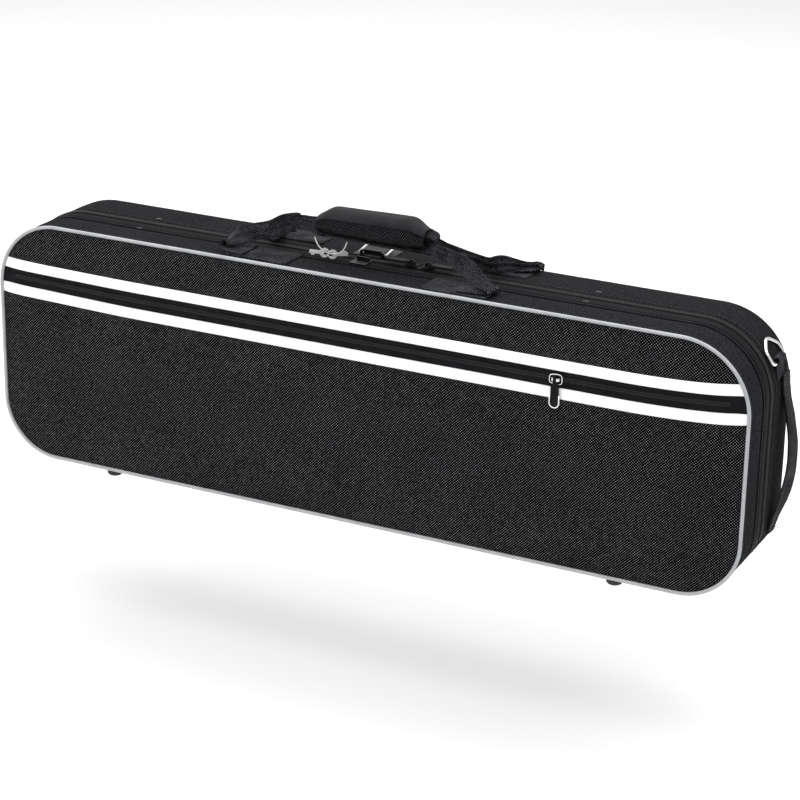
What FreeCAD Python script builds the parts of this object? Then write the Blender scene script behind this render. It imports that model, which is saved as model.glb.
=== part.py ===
"""Oblong violin case: a zipped suitcase-like case that stands on its hinge side, handle up.

Millimetres, +X along the case's length, -Y towards the lid's face, +Z up. Sub-parts are laid out in the
case's own frame (x = 0 mid-length, y = 0 the plane of the front piping, z = 0 the underside of the walls)
and then moved by shift_x, shift_y and foot_height, so that the origin is under the middle of the box that
holds the whole case, on the surface it stands on.
"""
import FreeCAD, Part

import math
import os

import Sketcher

V = FreeCAD.Vector
doc = FreeCAD.newDocument("violin_case")
sheet = doc.addObject("Spreadsheet::Sheet", "dims")

DIMENSIONS = [
    # the case as a whole
    ("case_length", 800.0),
    ("case_height", 250.0),
    ("case_depth", 129.0),
    ("top_radius", 69.0),
    ("low_radius", 60.0),
    ("back_edge_radius", 22.0),
    ("shift_x", -10.75),
    ("shift_y", -59.9),
    # layers of the walls, from the outside in
    ("cover", 1.5),
    ("wall", 10.0),
    ("lid_panel", 6.0),
    ("lining", 2.0),
    # the plane where the lid meets the body
    ("split_y", 58.0),
    ("split_gap", 0.3),
    ("lid_front", 2.5),
    # zipper round three sides
    ("zip_tape_width", 5.7),
    ("zip_tape_rise", 0.8),
    ("zip_coil_width", 2.5),
    ("zip_coil_rise", 1.8),
    ("zip_end_z", 42.0),
    # piping round the front
    ("piping_radius", 2.5),
    ("piping_inset", 1.0),
    # sheet-music pocket on the lid's face
    ("pocket_inset", 4.0),
    ("pocket_thick", 6.0),
    ("pocket_round", 3.0),
    ("strip_thick", 0.8),
    ("strip_low", 169.5),
    ("zip_low", 181.5),
    ("zip_high", 197.5),
    ("strip_high", 209.5),
    ("pocket_tape_thick", 4.0),
    ("pocket_coil_thick", 1.5),
    ("pocket_coil_width", 5.0),
    ("pocket_coil_length", 764.0),
    ("pocket_slider_x", 215.0),
    # feet
    ("foot_height", 9.0),
    ("foot_radius", 8.0),
    ("foot_round", 3.0),
    ("foot_x", 276.0),
    ("foot_y_lid", 11.5),
    ("foot_y_body", 97.0),
    # metal hinges under the case
    ("hinge_x", 260.0),
    ("hinge_length", 60.0),
    ("hinge_drop", 2.4),
    ("hinge_pin_radius", 1.0),
    ("hinge_bore_radius", 1.06),
    ("hinge_knuckle_radius", 2.2),
    ("hinge_leaf_thick", 1.0),
    ("hinge_leaf_inner", 2.8),
    ("hinge_leaf_outer", 20.0),
    ("hinge_play", 0.15),
    # insert that holds the violin
    ("insert_top", 72.0),
    ("violin_x", 12.0),
    ("violin_length", 360.0),
    ("upper_bout", 84.0),
    ("waist", 57.0),
    ("lower_bout", 106.0),
    ("neck_end_x", -236.0),
    ("neck_half", 28.0),
    ("box_x_low", -228.0),
    ("box_x_high", -48.0),
    ("box_z_low", 176.0),
    ("box_z_high", 226.0),
    ("box_rim", 3.0),
    ("bay_x_low", -370.0),
    ("bay_x_high", -248.0),
    ("bay_z_low", 42.0),
    ("bay_z_high", 206.0),
    ("accessory_lid_thick", 4.2),
    # handle
    ("webbing", 36.0),
    ("webbing_thick", 3.0),
    ("grip_length", 118.0),
    ("grip_width", 32.0),
    ("grip_height", 24.5),
    ("grip_y", 46.0),
    ("grip_low", 275.5),
    ("grip_round", 9.0),
    ("strap_slot", 3.6),
    ("strap_narrow", 26.0),
    ("strap_front_narrow", 20.0),
    ("strap_base_inner", 72.0),
    ("strap_base_outer", 150.0),
    ("strap_y_lid", 20.5),
    ("strap_y_body", 96.0),
    ("strap_mid_z", 273.0),
    # loop handle on the right end
    ("loop_width", 25.0),
    ("loop_y", 80.0),
    ("loop_reach", 23.0),
    ("loop_top", 190.0),
    ("loop_low", 52.0),
    ("loop_sewn_top", 4.5),
    ("loop_sewn_low", 14.0),
    # shoulder-strap rings on the top corners of the body
    ("ring_wire", 1.75),
    ("ring_half_width", 17.0),
    ("ring_reach", 22.0),
    ("ring_y", 84.0),
    ("ring_angle", 25.0),
    ("ring_lean", 37.5),
    ("ring_stand_off", 4.0),
    ("ring_tab_low_angle", 12.5),
    ("ring_tab_width", 25.0),
    ("ring_tab_thick", 2.5),
    ("ring_eye_radius", 3.6),
    ("ring_eye_bore", 1.82),
    # lock under the handle
    ("lock_x", -13.0),
    ("lock_y_low", 67.5),
    ("lock_y_high", 97.0),
    ("lock_half_width", 20.0),
    ("bail_y", 71.5),
    ("bail_z", 253.0),
    ("bail_reach", 22.0),
    ("bail_half_width", 14.4),
    ("bail_wire", 1.1),
    ("bail_bore", 1.16),
    ("bail_tilt", 10.0),
    ("catch_y_low", 38.5),
    ("catch_y_high", 49.2),
    ("catch_half_width", 9.0),
    ("catch_lip_low", 1.1),
    ("catch_lip_high", 1.9),
    ("catch_post_y", 51.0),
    ("catch_post_thick", 1.4),
    # zipper sliders and pulls
    ("slider_length", 13.0),
    ("slider_width", 10.5),
    ("slider_plate", 1.8),
    ("slider_bar_radius", 1.0),
    ("pull_bore", 1.06),
    ("pull_eye", 2.1),
    ("pull_length", 27.0),
    ("pull_width", 9.0),
    ("pull_thick", 1.6),
    ("left_slider_x", 36.0),
    ("right_slider_x", 54.0),
    # bow holders inside the lid
    ("spinner_x", 262.0),
    ("spinner_z_offset", 58.0),
    ("spinner_length", 46.0),
    ("spinner_width", 13.0),
    ("spinner_thick", 8.0),
    ("spinner_bore", 2.06),
    ("pivot_radius", 2.0),
    ("pivot_head", 4.0),
    ("pivot_foot", 6.0),
    ("spinner_stem_long", 13.0),
    ("spinner_head_thick", 2.0),
    ("spinner_head_at", 12.4),
    ("spinner_at", 3.6),
    ("sleeve_left", -335.0),
    ("sleeve_right", -300.0),
    ("sleeve_half", 15.0),
    ("sleeve_depth", 16.0),
    ("sleeve_floor", 3.0),
    ("sleeve_wall", 4.0),
    ("sleeve_overrun", 1.0),
    # keys on their string
    ("string_radius", 0.6),
    ("string_y", 40.0),
    ("string_gap", 0.3),
    ("key_thick", 1.2),
    ("key_bow_radius", 4.6),
    ("key_eye_radius", 2.2),
    ("key_eye_x", -1.5),
    ("key_blade", 3.2),
    ("key_length", 15.0),
    ("key_turn", 40.0),
    ("key_hang", 0.55),
]
for row, (alias, value) in enumerate(DIMENSIONS, 1):
    sheet.set(f"A{row}", alias)
    sheet.set(f"B{row}", str(value))
    sheet.setAlias(f"B{row}", alias)
doc.recompute()


# ---------------------------------------------------------------- sizes


def dim(alias):
    """The present value of one cell."""
    return float(sheet.get(alias))


class Size:
    """A sum of cells: the expression that FreeCAD keeps, and its present value."""

    def __init__(self, text, value):
        self.text = text
        self.value = value

    def __add__(self, other):
        other = size(other)
        return Size(f"{self.text} + {other.text}", self.value + other.value)

    def __sub__(self, other):
        other = size(other)
        return Size(f"{self.text} - ({other.text})", self.value - other.value)

    def __mul__(self, factor):
        return Size(f"({self.text}) * {factor}", self.value * factor)


def size(*terms):
    """Adds up cells, numbers and sizes; a cell's name with a leading minus is taken away."""
    text, value = [], 0.0
    for term in terms:
        if isinstance(term, Size):
            text.append(f"({term.text})")
            value += term.value
        elif isinstance(term, str):
            sign, name = ("-", term[1:]) if term.startswith("-") else ("", term)
            text.append(f"({sign}dims.{name})")
            value += -dim(name) if sign else dim(name)
        else:
            text.append(f"({term})")
            value += term
    return Size(" + ".join(text), value)


ZERO = size(0.0)
MID_HEIGHT = size("case_height") * 0.5
LID_BACK = size("split_y", "-split_gap")
BODY_FRONT = size("split_y", "split_gap")
PANEL_FRONT = size("lid_front", "-pocket_thick")
SHELL_INSET = size("cover")
INNER_INSET = size("cover", "wall")
LINING_INSET = size("cover", "wall", "lining")


def bind(obj, prop, amount):
    obj.setExpression(prop, amount.text)


def place(obj, x=ZERO, y=ZERO, z=ZERO):
    """Puts an object's local origin at a point of the case's frame."""
    bind(obj, "Placement.Base.x", size(x, "shift_x"))
    bind(obj, "Placement.Base.y", size(y, "shift_y"))
    bind(obj, "Placement.Base.z", size(z, "foot_height"))
    return obj


def place_shape(obj, shape):
    """Gives a Part::Feature a shape drawn in the case's frame."""
    obj.Shape = shape
    moved = FreeCAD.Placement(V(dim("shift_x"), dim("shift_y"), dim("foot_height")), FreeCAD.Rotation())
    obj.Placement = moved * shape.Placement
    return obj


# ---------------------------------------------------------------- sketches and features

parts = []


def sub_part(obj):
    parts.append(obj)
    return obj


def new_body(label):
    body = doc.addObject("PartDesign::Body", label)
    body.Label = label
    return body


def new_sketch(body, role, offset=(ZERO, ZERO, ZERO)):
    """A sketch on one of the body's own origin planes, moved in that plane's own x, y and z."""
    plane = next(f for f in body.Origin.OriginFeatures if f.Role == role)
    sketch = body.newObject("Sketcher::SketchObject", f"{body.Label}_sketch")
    sketch.AttachmentSupport = [(plane, "")]
    sketch.MapMode = "FlatFace"
    for axis, amount in zip("xyz", offset):
        bind(sketch, f"AttachmentOffset.Base.{axis}", amount)
    return sketch


def constrain(sketch, kind, where, amount):
    """Adds a driving dimension to a sketch and binds it to the sheet."""
    index = sketch.addConstraint(Sketcher.Constraint(kind, *where, amount.value))
    sketch.setExpression(f"Constraints[{index}]", amount.text)


def add_outline(sketch, inset):
    """The case's rounded outline about the sketch's origin, inset from the outer surface."""
    half_w = size("case_length") * 0.5 - inset
    half_h = MID_HEIGHT - inset
    top_r = size("top_radius") - inset
    low_r = size("low_radius") - inset
    w, h, rt, rl = half_w.value, half_h.value, top_r.value, low_r.value

    def line(x0, y0, x1, y1):
        return Part.LineSegment(V(x0, y0, 0), V(x1, y1, 0))

    def corner(x, y, radius, start):
        circle = Part.Circle(V(x, y, 0), V(0, 0, 1), radius)
        return Part.ArcOfCircle(circle, math.radians(start), math.radians(start + 90))

    low, right, top, left = 0, 2, 4, 6
    first = sketch.addGeometry(line(rl - w, -h, w - rl, -h), False)
    sketch.addGeometry(corner(w - rl, rl - h, rl, -90), False)
    sketch.addGeometry(line(w, rl - h, w, h - rt), False)
    sketch.addGeometry(corner(w - rt, h - rt, rt, 0), False)
    sketch.addGeometry(line(w - rt, h, rt - w, h), False)
    sketch.addGeometry(corner(rt - w, h - rt, rt, 90), False)
    sketch.addGeometry(line(-w, h - rt, -w, rl - h), False)
    sketch.addGeometry(corner(rl - w, rl - h, rl, 180), False)
    for i in range(8):
        joined = (first + i, 2, first + (i + 1) % 8, 1)
        sketch.addConstraint(Sketcher.Constraint("Tangent", *joined))
    for side in (low, top):
        sketch.addConstraint(Sketcher.Constraint("Horizontal", first + side))
    for side in (right, left):
        sketch.addConstraint(Sketcher.Constraint("Vertical", first + side))
    sketch.addConstraint(Sketcher.Constraint("Equal", first + 1, first + 7))
    sketch.addConstraint(Sketcher.Constraint("Equal", first + 3, first + 5))
    constrain(sketch, "Radius", (first + 1,), low_r)
    constrain(sketch, "Radius", (first + 3,), top_r)
    constrain(sketch, "DistanceX", (-1, 1, first + right, 1), half_w)
    constrain(sketch, "DistanceX", (first + left, 1, -1, 1), half_w)
    constrain(sketch, "DistanceY", (-1, 1, first + top, 1), half_h)
    constrain(sketch, "DistanceY", (first + low, 1, -1, 1), half_h)


def add_rectangle(sketch, width, height):
    """A rectangle centred on the sketch's origin."""
    w, h = width.value / 2, height.value / 2
    corners = [V(-w, -h, 0), V(w, -h, 0), V(w, h, 0), V(-w, h, 0)]
    first = sketch.GeometryCount
    for i in range(4):
        sketch.addGeometry(Part.LineSegment(corners[i], corners[(i + 1) % 4]), False)
    for i in range(4):
        joined = (first + i, 2, first + (i + 1) % 4, 1)
        sketch.addConstraint(Sketcher.Constraint("Coincident", *joined))
    for side, kind in enumerate(("Horizontal", "Vertical", "Horizontal", "Vertical")):
        sketch.addConstraint(Sketcher.Constraint(kind, first + side))
    sketch.addConstraint(Sketcher.Constraint("Symmetric", first, 1, first + 2, 1, -1, 1))
    constrain(sketch, "DistanceX", (first, 1, first, 2), width)
    constrain(sketch, "DistanceY", (first + 1, 1, first + 1, 2), height)


def add_circle(sketch, radius):
    """A circle about the sketch's origin."""
    first = sketch.addGeometry(Part.Circle(V(0, 0, 0), V(0, 0, 1), radius.value), False)
    sketch.addConstraint(Sketcher.Constraint("Coincident", first, 3, -1, 1))
    constrain(sketch, "Radius", (first,), radius)


def pad(body, sketch, length, reverse=False, middle=False):
    feature = body.newObject("PartDesign::Pad", f"{body.Label}_pad")
    feature.Profile = sketch
    feature.Reversed = reverse
    feature.Midplane = middle
    bind(feature, "Length", length)
    doc.recompute()
    return feature


def pocket(body, sketch, length, middle=False):
    """Cuts along -normal for a length, or evenly both ways, and makes sure that it did cut."""
    before = body.Shape.Volume
    feature = body.newObject("PartDesign::Pocket", f"{body.Label}_pocket")
    feature.Profile = sketch
    feature.Midplane = middle
    bind(feature, "Length", length)
    doc.recompute()
    if not feature.Shape.Volume < before - 1e-3:
        raise RuntimeError(f"{body.Label}: a pocket cut nothing")
    return feature


def fillet(body, radius, wanted):
    """Rounds the edges of a body whose bounding boxes pass the test."""
    base = body.Tip
    chosen = [f"Edge{i + 1}" for i, edge in enumerate(base.Shape.Edges) if wanted(edge.BoundBox)]
    feature = body.newObject("PartDesign::Fillet", f"{body.Label}_fillet")
    feature.Base = (base, chosen)
    bind(feature, "Radius", radius)
    doc.recompute()


def fillet_at(body, y, radius):
    """Rounds every edge of the body that lies in the plane of the given local y."""
    def in_plane(bounds):
        return abs(bounds.YMin - y.value) < 1e-3 and abs(bounds.YMax - y.value) < 1e-3

    fillet(body, radius, in_plane)


def outline_body(label, inset, y_low, y_high):
    """A slab of the case's outline between two planes of the case's depth."""
    body = new_body(label)
    place(body, y=y_low)
    sketch = new_sketch(body, "XZ_Plane", (ZERO, MID_HEIGHT, ZERO))
    add_outline(sketch, inset)
    pad(body, sketch, y_high - y_low, reverse=True)
    return body


def hollow(body, inset, start, length):
    """Cuts the outline, inset, out of a slab from a local depth onwards."""
    sketch = new_sketch(body, "XZ_Plane", (ZERO, MID_HEIGHT, start * -1))
    add_outline(sketch, inset)
    pocket(body, sketch, length)


def tub(label, inset, thick, y_low, y_high, floor, open_front, edge=None):
    """A tray of the case's outline, open towards the lid's face or away from it."""
    body = outline_body(label, inset, y_low, y_high)
    depth = y_high - y_low
    if edge:
        fillet_at(body, depth, edge)
    if open_front:
        hollow(body, inset + thick, ZERO, depth - floor)
    else:
        hollow(body, inset + thick, floor, depth - floor)
    return body


def cut_rectangle(body, x, z, width, height, depth, start=ZERO):
    """Cuts a rectangular hole through a slab, given its middle in x and z."""
    sketch = new_sketch(body, "XZ_Plane", (x, z, start * -1))
    add_rectangle(sketch, width, height)
    pocket(body, sketch, depth)


def keep_band(body, z_low, z_high, depth):
    """Cuts a slab of the outline down to what lies between two heights; None leaves a side alone."""
    wide = size("case_length") + size(40.0)
    tall = size("case_height") + size(40.0)
    if z_low:
        cut_rectangle(body, ZERO, z_low - tall * 0.5, wide, tall, depth)
    if z_high:
        cut_rectangle(body, ZERO, z_high + tall * 0.5, wide, tall, depth)


def box(label, low, high):
    """A Part::Box between two corners of the case's frame, each a tuple of three sizes."""
    obj = doc.addObject("Part::Box", label)
    for prop, a, b in zip(("Length", "Width", "Height"), low, high):
        bind(obj, prop, b - a)
    return place(obj, *low)


def cylinder(label, radius, length, base, axis):
    """A Part::Cylinder from a point of the case's frame along +X, +Y or +Z."""
    turns = {"X": (V(0, 1, 0), 90), "Y": (V(1, 0, 0), -90), "Z": (V(0, 0, 1), 0)}
    obj = doc.addObject("Part::Cylinder", label)
    obj.Placement.Rotation = FreeCAD.Rotation(*turns[axis])
    bind(obj, "Radius", radius)
    bind(obj, "Height", length)
    return place(obj, *base)


def combine(kind, label, objects):
    """A Part::MultiFuse or Part::Compound of objects, or a Part::Cut of two."""
    obj = doc.addObject(f"Part::{kind}", label)
    obj.Label = label
    if kind == "Cut":
        obj.Base, obj.Tool = objects
    elif kind == "MultiFuse":
        obj.Shapes = objects
    else:
        obj.Links = objects
    return obj


def free_shape(label, shape):
    """A sub-part whose shape is drawn in code, in the case's frame."""
    obj = doc.addObject("Part::Feature", label)
    obj.Label = label
    return sub_part(place_shape(obj, shape))


def rounded_route(points, radii=None, closed=False):
    """Straight runs between points, joined by tangent arcs; returns the wire and the arcs' radii.

    Without radii each arc is as large as 0.45 of its shorter run allows.
    """
    count = len(points)
    edges, used, start = [], [], None
    corners = range(count) if closed else range(1, count - 1)
    cuts = {}
    for n, i in enumerate(corners):
        before, at, after = points[i - 1], points[i], points[(i + 1) % count]
        back, ahead = before - at, after - at
        half_turn = (math.pi - back.getAngle(ahead)) / 2
        if radii:
            radius = radii[n] if isinstance(radii, (list, tuple)) else radii
            trim = radius * math.tan(half_turn)
        else:
            trim = 0.45 * min(back.Length, ahead.Length)
            radius = trim / math.tan(half_turn)
        into = at + back.normalize() * trim
        out = at + ahead.normalize() * trim
        sag = radius / math.cos(half_turn) - radius
        middle = at + (into + out - at * 2).normalize() * sag
        cuts[i] = (into, middle, out)
        used.append(radius)
    start = cuts[0][2] if closed else points[0]
    here = start
    order = list(range(1, count)) + ([0] if closed else [])
    for i in order:
        if i in cuts:
            into, middle, out = cuts[i]
            edges.append(Part.LineSegment(here, into).toShape())
            edges.append(Part.Arc(into, middle, out).toShape())
            here = out
        else:
            edges.append(Part.LineSegment(here, points[i]).toShape())
    return Part.Wire(edges), used


def wire_solid(route, radius):
    """A round wire along a route."""
    first = route.Edges[0]
    start = first.valueAt(first.FirstParameter)
    along = first.tangentAt(first.FirstParameter)
    section = Part.Wire([Part.Circle(start, along, radius).toShape()])
    return route.makePipeShell([section], True, False)


def ribbon(sections, thick):
    """Webbing through a list of (centre, direction across, width), lofted from one to the next."""
    wires = []
    for i, (centre, across, width) in enumerate(sections):
        before = sections[max(i - 1, 0)][0]
        after = sections[min(i + 1, len(sections) - 1)][0]
        along = (after - before).normalize()
        side = V(across).normalize() * (width / 2)
        up = along.cross(V(across)).normalize() * (thick / 2)
        corners = [centre + side + up, centre - side + up, centre - side - up, centre + side - up]
        wires.append(Part.makePolygon(corners + corners[:1]))
    return Part.makeLoft(wires, True, True)


# ---------------------------------------------------------------- shells, covers and linings


def make_shells():
    back = size("case_depth")
    body_depth_end = back - "cover"
    solids = []
    for name, inset, end in (("outer", ZERO, back), ("core", SHELL_INSET, body_depth_end)):
        solid = outline_body(f"body_cover_{name}", inset, BODY_FRONT, end)
        fillet_at(solid, end - BODY_FRONT, size("back_edge_radius") - inset)
        solids.append(solid)
    sub_part(combine("Cut", "body_cover", solids))
    shell = tub(
        "body_shell", SHELL_INSET, size("wall"), BODY_FRONT, body_depth_end, size("wall"), True,
        edge=size("back_edge_radius", "-cover"),
    )
    sub_part(shell)
    floor = body_depth_end - size("wall")
    sub_part(
        tub("body_lining", INNER_INSET, size("lining"), BODY_FRONT, floor, size("lining"), True)
    )
    front = size("lid_front")
    sub_part(tub("lid_cover", ZERO, size("cover"), front, LID_BACK, size("cover"), False))
    panel = front + "cover"
    sub_part(tub("lid_shell", SHELL_INSET, size("wall"), panel, LID_BACK, size("lid_panel"), False))
    inside = panel + "lid_panel"
    sub_part(tub("lid_lining", INNER_INSET, size("lining"), inside, LID_BACK, size("lining"), False))


def make_zipper():
    """Tape and coil on each side of the split, round the top and both ends."""
    for side, sign in (("lid", -1), ("body", 1)):
        edge = LID_BACK if sign < 0 else BODY_FRONT
        coil_far = edge + size("zip_coil_width") * sign
        tape_far = coil_far + size("zip_tape_width") * sign
        for name, a, b, rise in (
            ("coil", edge, coil_far, size("zip_coil_rise")),
            ("tape", coil_far, tape_far, size("zip_tape_rise")),
        ):
            low, high = (b, a) if sign < 0 else (a, b)
            band = outline_body(f"{side}_zip_{name}", rise * -1, low, high)
            hollow(band, ZERO, ZERO, high - low)
            keep_band(band, size("zip_end_z"), None, high - low)
            sub_part(band)


def make_piping():
    body = new_body("front_piping")
    place(body)
    spine = new_sketch(body, "XZ_Plane", (ZERO, MID_HEIGHT, ZERO))
    add_outline(spine, size("piping_inset"))
    section = new_sketch(body, "YZ_Plane", (ZERO, size("case_height", "-piping_inset"), ZERO))
    add_circle(section, size("piping_radius"))
    pipe = body.newObject("PartDesign::AdditivePipe", "piping_sweep")
    pipe.Profile = section
    pipe.Spine = spine
    doc.recompute()
    sub_part(body)


def make_pocket():
    """The music pocket's two panels, the two light strips, and the zipper between them."""
    inset, front, back = size("pocket_inset"), PANEL_FRONT, size("lid_front")
    levels = {
        "pocket_lower_panel": (None, size("zip_low"), front, back),
        "pocket_upper_panel": (size("zip_high"), None, front, back),
        "pocket_lower_strip": (size("strip_low"), size("zip_low"), front - "strip_thick", front),
        "pocket_upper_strip": (size("zip_high"), size("strip_high"), front - "strip_thick", front),
        "pocket_zip_tape": (
            size("zip_low"), size("zip_high"), back - "pocket_tape_thick", back,
        ),
    }
    for label, (z_low, z_high, y_low, y_high) in levels.items():
        slab = outline_body(label, inset, y_low, y_high)
        keep_band(slab, z_low, z_high, y_high - y_low)
        sub_part(slab)
    coil_back = back - "pocket_tape_thick"
    half = size("pocket_coil_length") * 0.5
    middle = (size("zip_low") + "zip_high") * 0.5
    low = (half * -1, coil_back - "pocket_coil_thick", middle - size("pocket_coil_width") * 0.5)
    high = (half, coil_back, middle + size("pocket_coil_width") * 0.5)
    sub_part(box("pocket_zip_coil", low, high))


# ---------------------------------------------------------------- inside the body


def violin_outline():
    """The violin body's outline as one smooth closed curve about the sketch's x axis."""
    length, upper, waist, lower = (
        dim("violin_length"), dim("upper_bout"), dim("waist"), dim("lower_bout"),
    )
    half = [
        (0.0, 0.0), (0.03, 0.68 * upper), (0.17, upper), (0.34, 0.80 * upper), (0.50, waist),
        (0.62, 0.66 * lower), (0.79, lower), (0.94, 0.70 * lower), (1.0, 0.0),
    ]
    top = [V(u * length, r, 0) for u, r in half]
    under = [V(u * length, -r, 0) for u, r in half[-2:0:-1]]
    curve = Part.BSplineCurve()
    curve.interpolate(Points=top + under, PeriodicFlag=True)
    return curve


def make_insert():
    top, floor = size("insert_top"), size("case_depth", "-cover", "-wall", "-lining")
    depth = floor - top
    insert = outline_body("cradle_insert", LINING_INSET, top, floor)
    recess = new_sketch(insert, "XZ_Plane", (size("violin_x"), MID_HEIGHT, ZERO))
    recess.addGeometry(violin_outline(), False)
    recess.addConstraint(Sketcher.Constraint("Block", 0))
    pocket(insert, recess, depth)
    neck_far, neck_near = size("neck_end_x"), size("violin_x", 30.0)
    cut_rectangle(
        insert, (neck_far + neck_near) * 0.5, MID_HEIGHT, neck_near - neck_far,
        size("neck_half") * 2, depth,
    )
    for name in ("box", "bay"):
        x0, x1 = size(f"{name}_x_low"), size(f"{name}_x_high")
        z0, z1 = size(f"{name}_z_low"), size(f"{name}_z_high")
        cut_rectangle(insert, (x0 + x1) * 0.5, (z0 + z1) * 0.5, x1 - x0, z1 - z0, depth)
    sub_part(insert)

    pads = [
        box(f"pad_{i}", (size(x), floor - 8.0, MID_HEIGHT - half),
            (size(x + 60.0), floor, MID_HEIGHT + half))
        for i, (x, half) in enumerate(((48.0, 50.0), (270.0, 65.0)))
    ]
    sub_part(combine("Compound", "suspension_pads", pads))

    cradle = box(
        "cradle_block", (size(-128.0), size(84.0), MID_HEIGHT - "neck_half"),
        (size(-88.0), floor, MID_HEIGHT + "neck_half"),
    )
    groove = cylinder(
        "cradle_groove", size(17.0), size(44.0), (size(-130.0), size(84.0), MID_HEIGHT), "X"
    )
    sub_part(combine("Cut", "neck_cradle", [cradle, groove]))
    sub_part(
        box("neck_strap", (size(-121.0), top - 1.5, MID_HEIGHT - 41.0),
            (size(-95.0), top, MID_HEIGHT + 41.0))
    )


def make_accessory_lid():
    """The lid of the accessory box beside the neck, hinged along its upper edge."""
    back = size("insert_top", "-split_gap")
    front = back - "accessory_lid_thick"
    x0, x1 = size("box_x_low", "-box_rim"), size("box_x_high", "box_rim")
    z0, z1 = size("box_z_low", "-box_rim"), size("box_z_high", "box_rim")
    panel = new_body("accessory_lid")
    place(panel, (x0 + x1) * 0.5, front, (z0 + z1) * 0.5)
    outline = new_sketch(panel, "XZ_Plane")
    add_rectangle(outline, x1 - x0, z1 - z0)
    pad(panel, outline, back - front, reverse=True)
    fillet_at(panel, ZERO, size(1.5))
    sub_part(panel)
    middle = (x0 + x1) * 0.5
    sub_part(
        box("accessory_tab", (middle - 7.0, front - 1.0, z0 + 1.0), (middle + 7.0, front, z0 + 15.0))
    )


# ---------------------------------------------------------------- hinges and feet


def make_hinges():
    axis_y, axis_z = size("split_y"), size("hinge_drop") * -1
    third = size("hinge_length") * (1 / 3)
    play = size("hinge_play")
    knuckle, bore = size("hinge_knuckle_radius"), size("hinge_bore_radius")
    leaves = {"body": [], "lid": []}
    pins = []
    for n, offset in enumerate((-1.0, 0.0, 1.0)):
        start = size("hinge_x") * offset - size("hinge_length") * 0.5
        pins.append(
            cylinder(f"hinge_pin_{n}", size("hinge_pin_radius"), size("hinge_length"),
                     (start, axis_y, axis_z), "X")
        )
        for owner, sign, turns in (("body", 1, (0, 2)), ("lid", -1, (1,))):
            name = f"{owner}_hinge_{n}"
            inner = axis_y + size("hinge_leaf_inner") * sign
            outer = axis_y + size("hinge_leaf_outer") * sign
            low, high = (inner, outer) if sign > 0 else (outer, inner)
            solids = [
                box(f"{name}_leaf", (start, low, size("hinge_leaf_thick") * -1),
                    (start + "hinge_length", high, ZERO))
            ]
            for turn in turns:
                x0 = start + third * turn + play
                x1 = start + third * (turn + 1) - play
                near, far = (axis_y, inner) if sign > 0 else (inner, axis_y)
                solids.append(
                    cylinder(f"{name}_knuckle_{turn}", knuckle, x1 - x0, (x0, axis_y, axis_z), "X")
                )
                solids.append(
                    box(f"{name}_neck_{turn}",
                        (x0, near, axis_z + knuckle - "hinge_leaf_thick"),
                        (x1, far, axis_z + knuckle + 0.2))
                )
            whole = combine("MultiFuse", f"{name}_solid", solids)
            hole = cylinder(f"{name}_bore", bore, size("hinge_length"), (start, axis_y, axis_z), "X")
            leaves[owner].append(combine("Cut", f"{name}_bored", [whole, hole]))
    for owner, solids in leaves.items():
        sub_part(combine("Compound", f"{owner}_hinge_leaves", solids))
    sub_part(combine("Compound", "hinge_pins", pins))


def make_feet():
    for owner in ("lid", "body"):
        feet = []
        for side in (-1, 1):
            foot = new_body(f"{owner}_foot_{'left' if side < 0 else 'right'}")
            place(foot, size("foot_x") * side, size(f"foot_y_{owner}"), size("foot_height") * -1)
            disc = new_sketch(foot, "XY_Plane")
            add_circle(disc, size("foot_radius"))
            pad(foot, disc, size("foot_height"))
            fillet(foot, size("foot_round"), lambda bounds: bounds.ZMax < 1e-3)
            feet.append(foot)
        sub_part(combine("Compound", f"{owner}_feet", feet))


# ---------------------------------------------------------------- handle and end loop


def strap_half(side, base_y, middle_y, middle_z, narrow):
    """One side of a handle strap: the patch sewn to the wall, and the webbing up to the grip."""
    inner, outer = dim("strap_base_inner"), dim("strap_base_outer")
    width, thick, top = dim("webbing"), dim("webbing_thick"), dim("case_height")
    patch = Part.makeBox(outer - inner, width, thick, V(inner, base_y - width / 2, top))
    lift = V(outer - 10, base_y, top + thick + 1.0)
    waist = V(outer - 50, (base_y * 2 + middle_y) / 3, top + 13.0)
    grip = V(dim("grip_length") / 2 + 5, middle_y, middle_z)
    slope = V(0, 1, 0)
    riser = ribbon(
        [(lift, slope, width - 8), (waist, slope, narrow + 2), (grip, slope, narrow)], thick
    )
    half = patch.fuse(riser)
    if side < 0:
        half = half.mirror(V(0, 0, 0), V(1, 0, 0))
    return half, grip


def make_handle():
    grip_y, thick = dim("grip_y"), dim("webbing_thick")
    mid_height = dim("grip_low") + dim("grip_height") / 2
    for label, base_y, middle_z, narrow in (
        ("handle_strap_front", dim("strap_y_lid"), dim("strap_mid_z"), dim("strap_front_narrow")),
        ("handle_strap_rear", dim("strap_y_body"), mid_height, dim("strap_narrow")),
    ):
        right, end = strap_half(1, base_y, grip_y, middle_z, narrow)
        left, _ = strap_half(-1, base_y, grip_y, middle_z, narrow)
        run = Part.makeBox(
            2 * end.x + 2, narrow, thick, V(-end.x - 1, grip_y - narrow / 2, middle_z - thick / 2)
        )
        free_shape(label, right.fuse(run).fuse(left).removeSplitter())

    wrap = new_body("handle_grip")
    length, width, height = size("grip_length"), size("grip_width"), size("grip_height")
    place(wrap, ZERO, size("grip_y"), size("grip_low") + height * 0.5)
    outline = new_sketch(wrap, "YZ_Plane")
    add_rectangle(outline, width, height)
    pad(wrap, outline, length, middle=True)
    fillet(wrap, size("grip_round"), lambda bounds: bounds.XLength > dim("grip_length") / 2)
    slot = new_sketch(wrap, "YZ_Plane")
    add_rectangle(slot, size("strap_narrow") + 0.6, size("strap_slot"))
    pocket(wrap, slot, length + 2.0, middle=True)
    sub_part(wrap)


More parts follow.
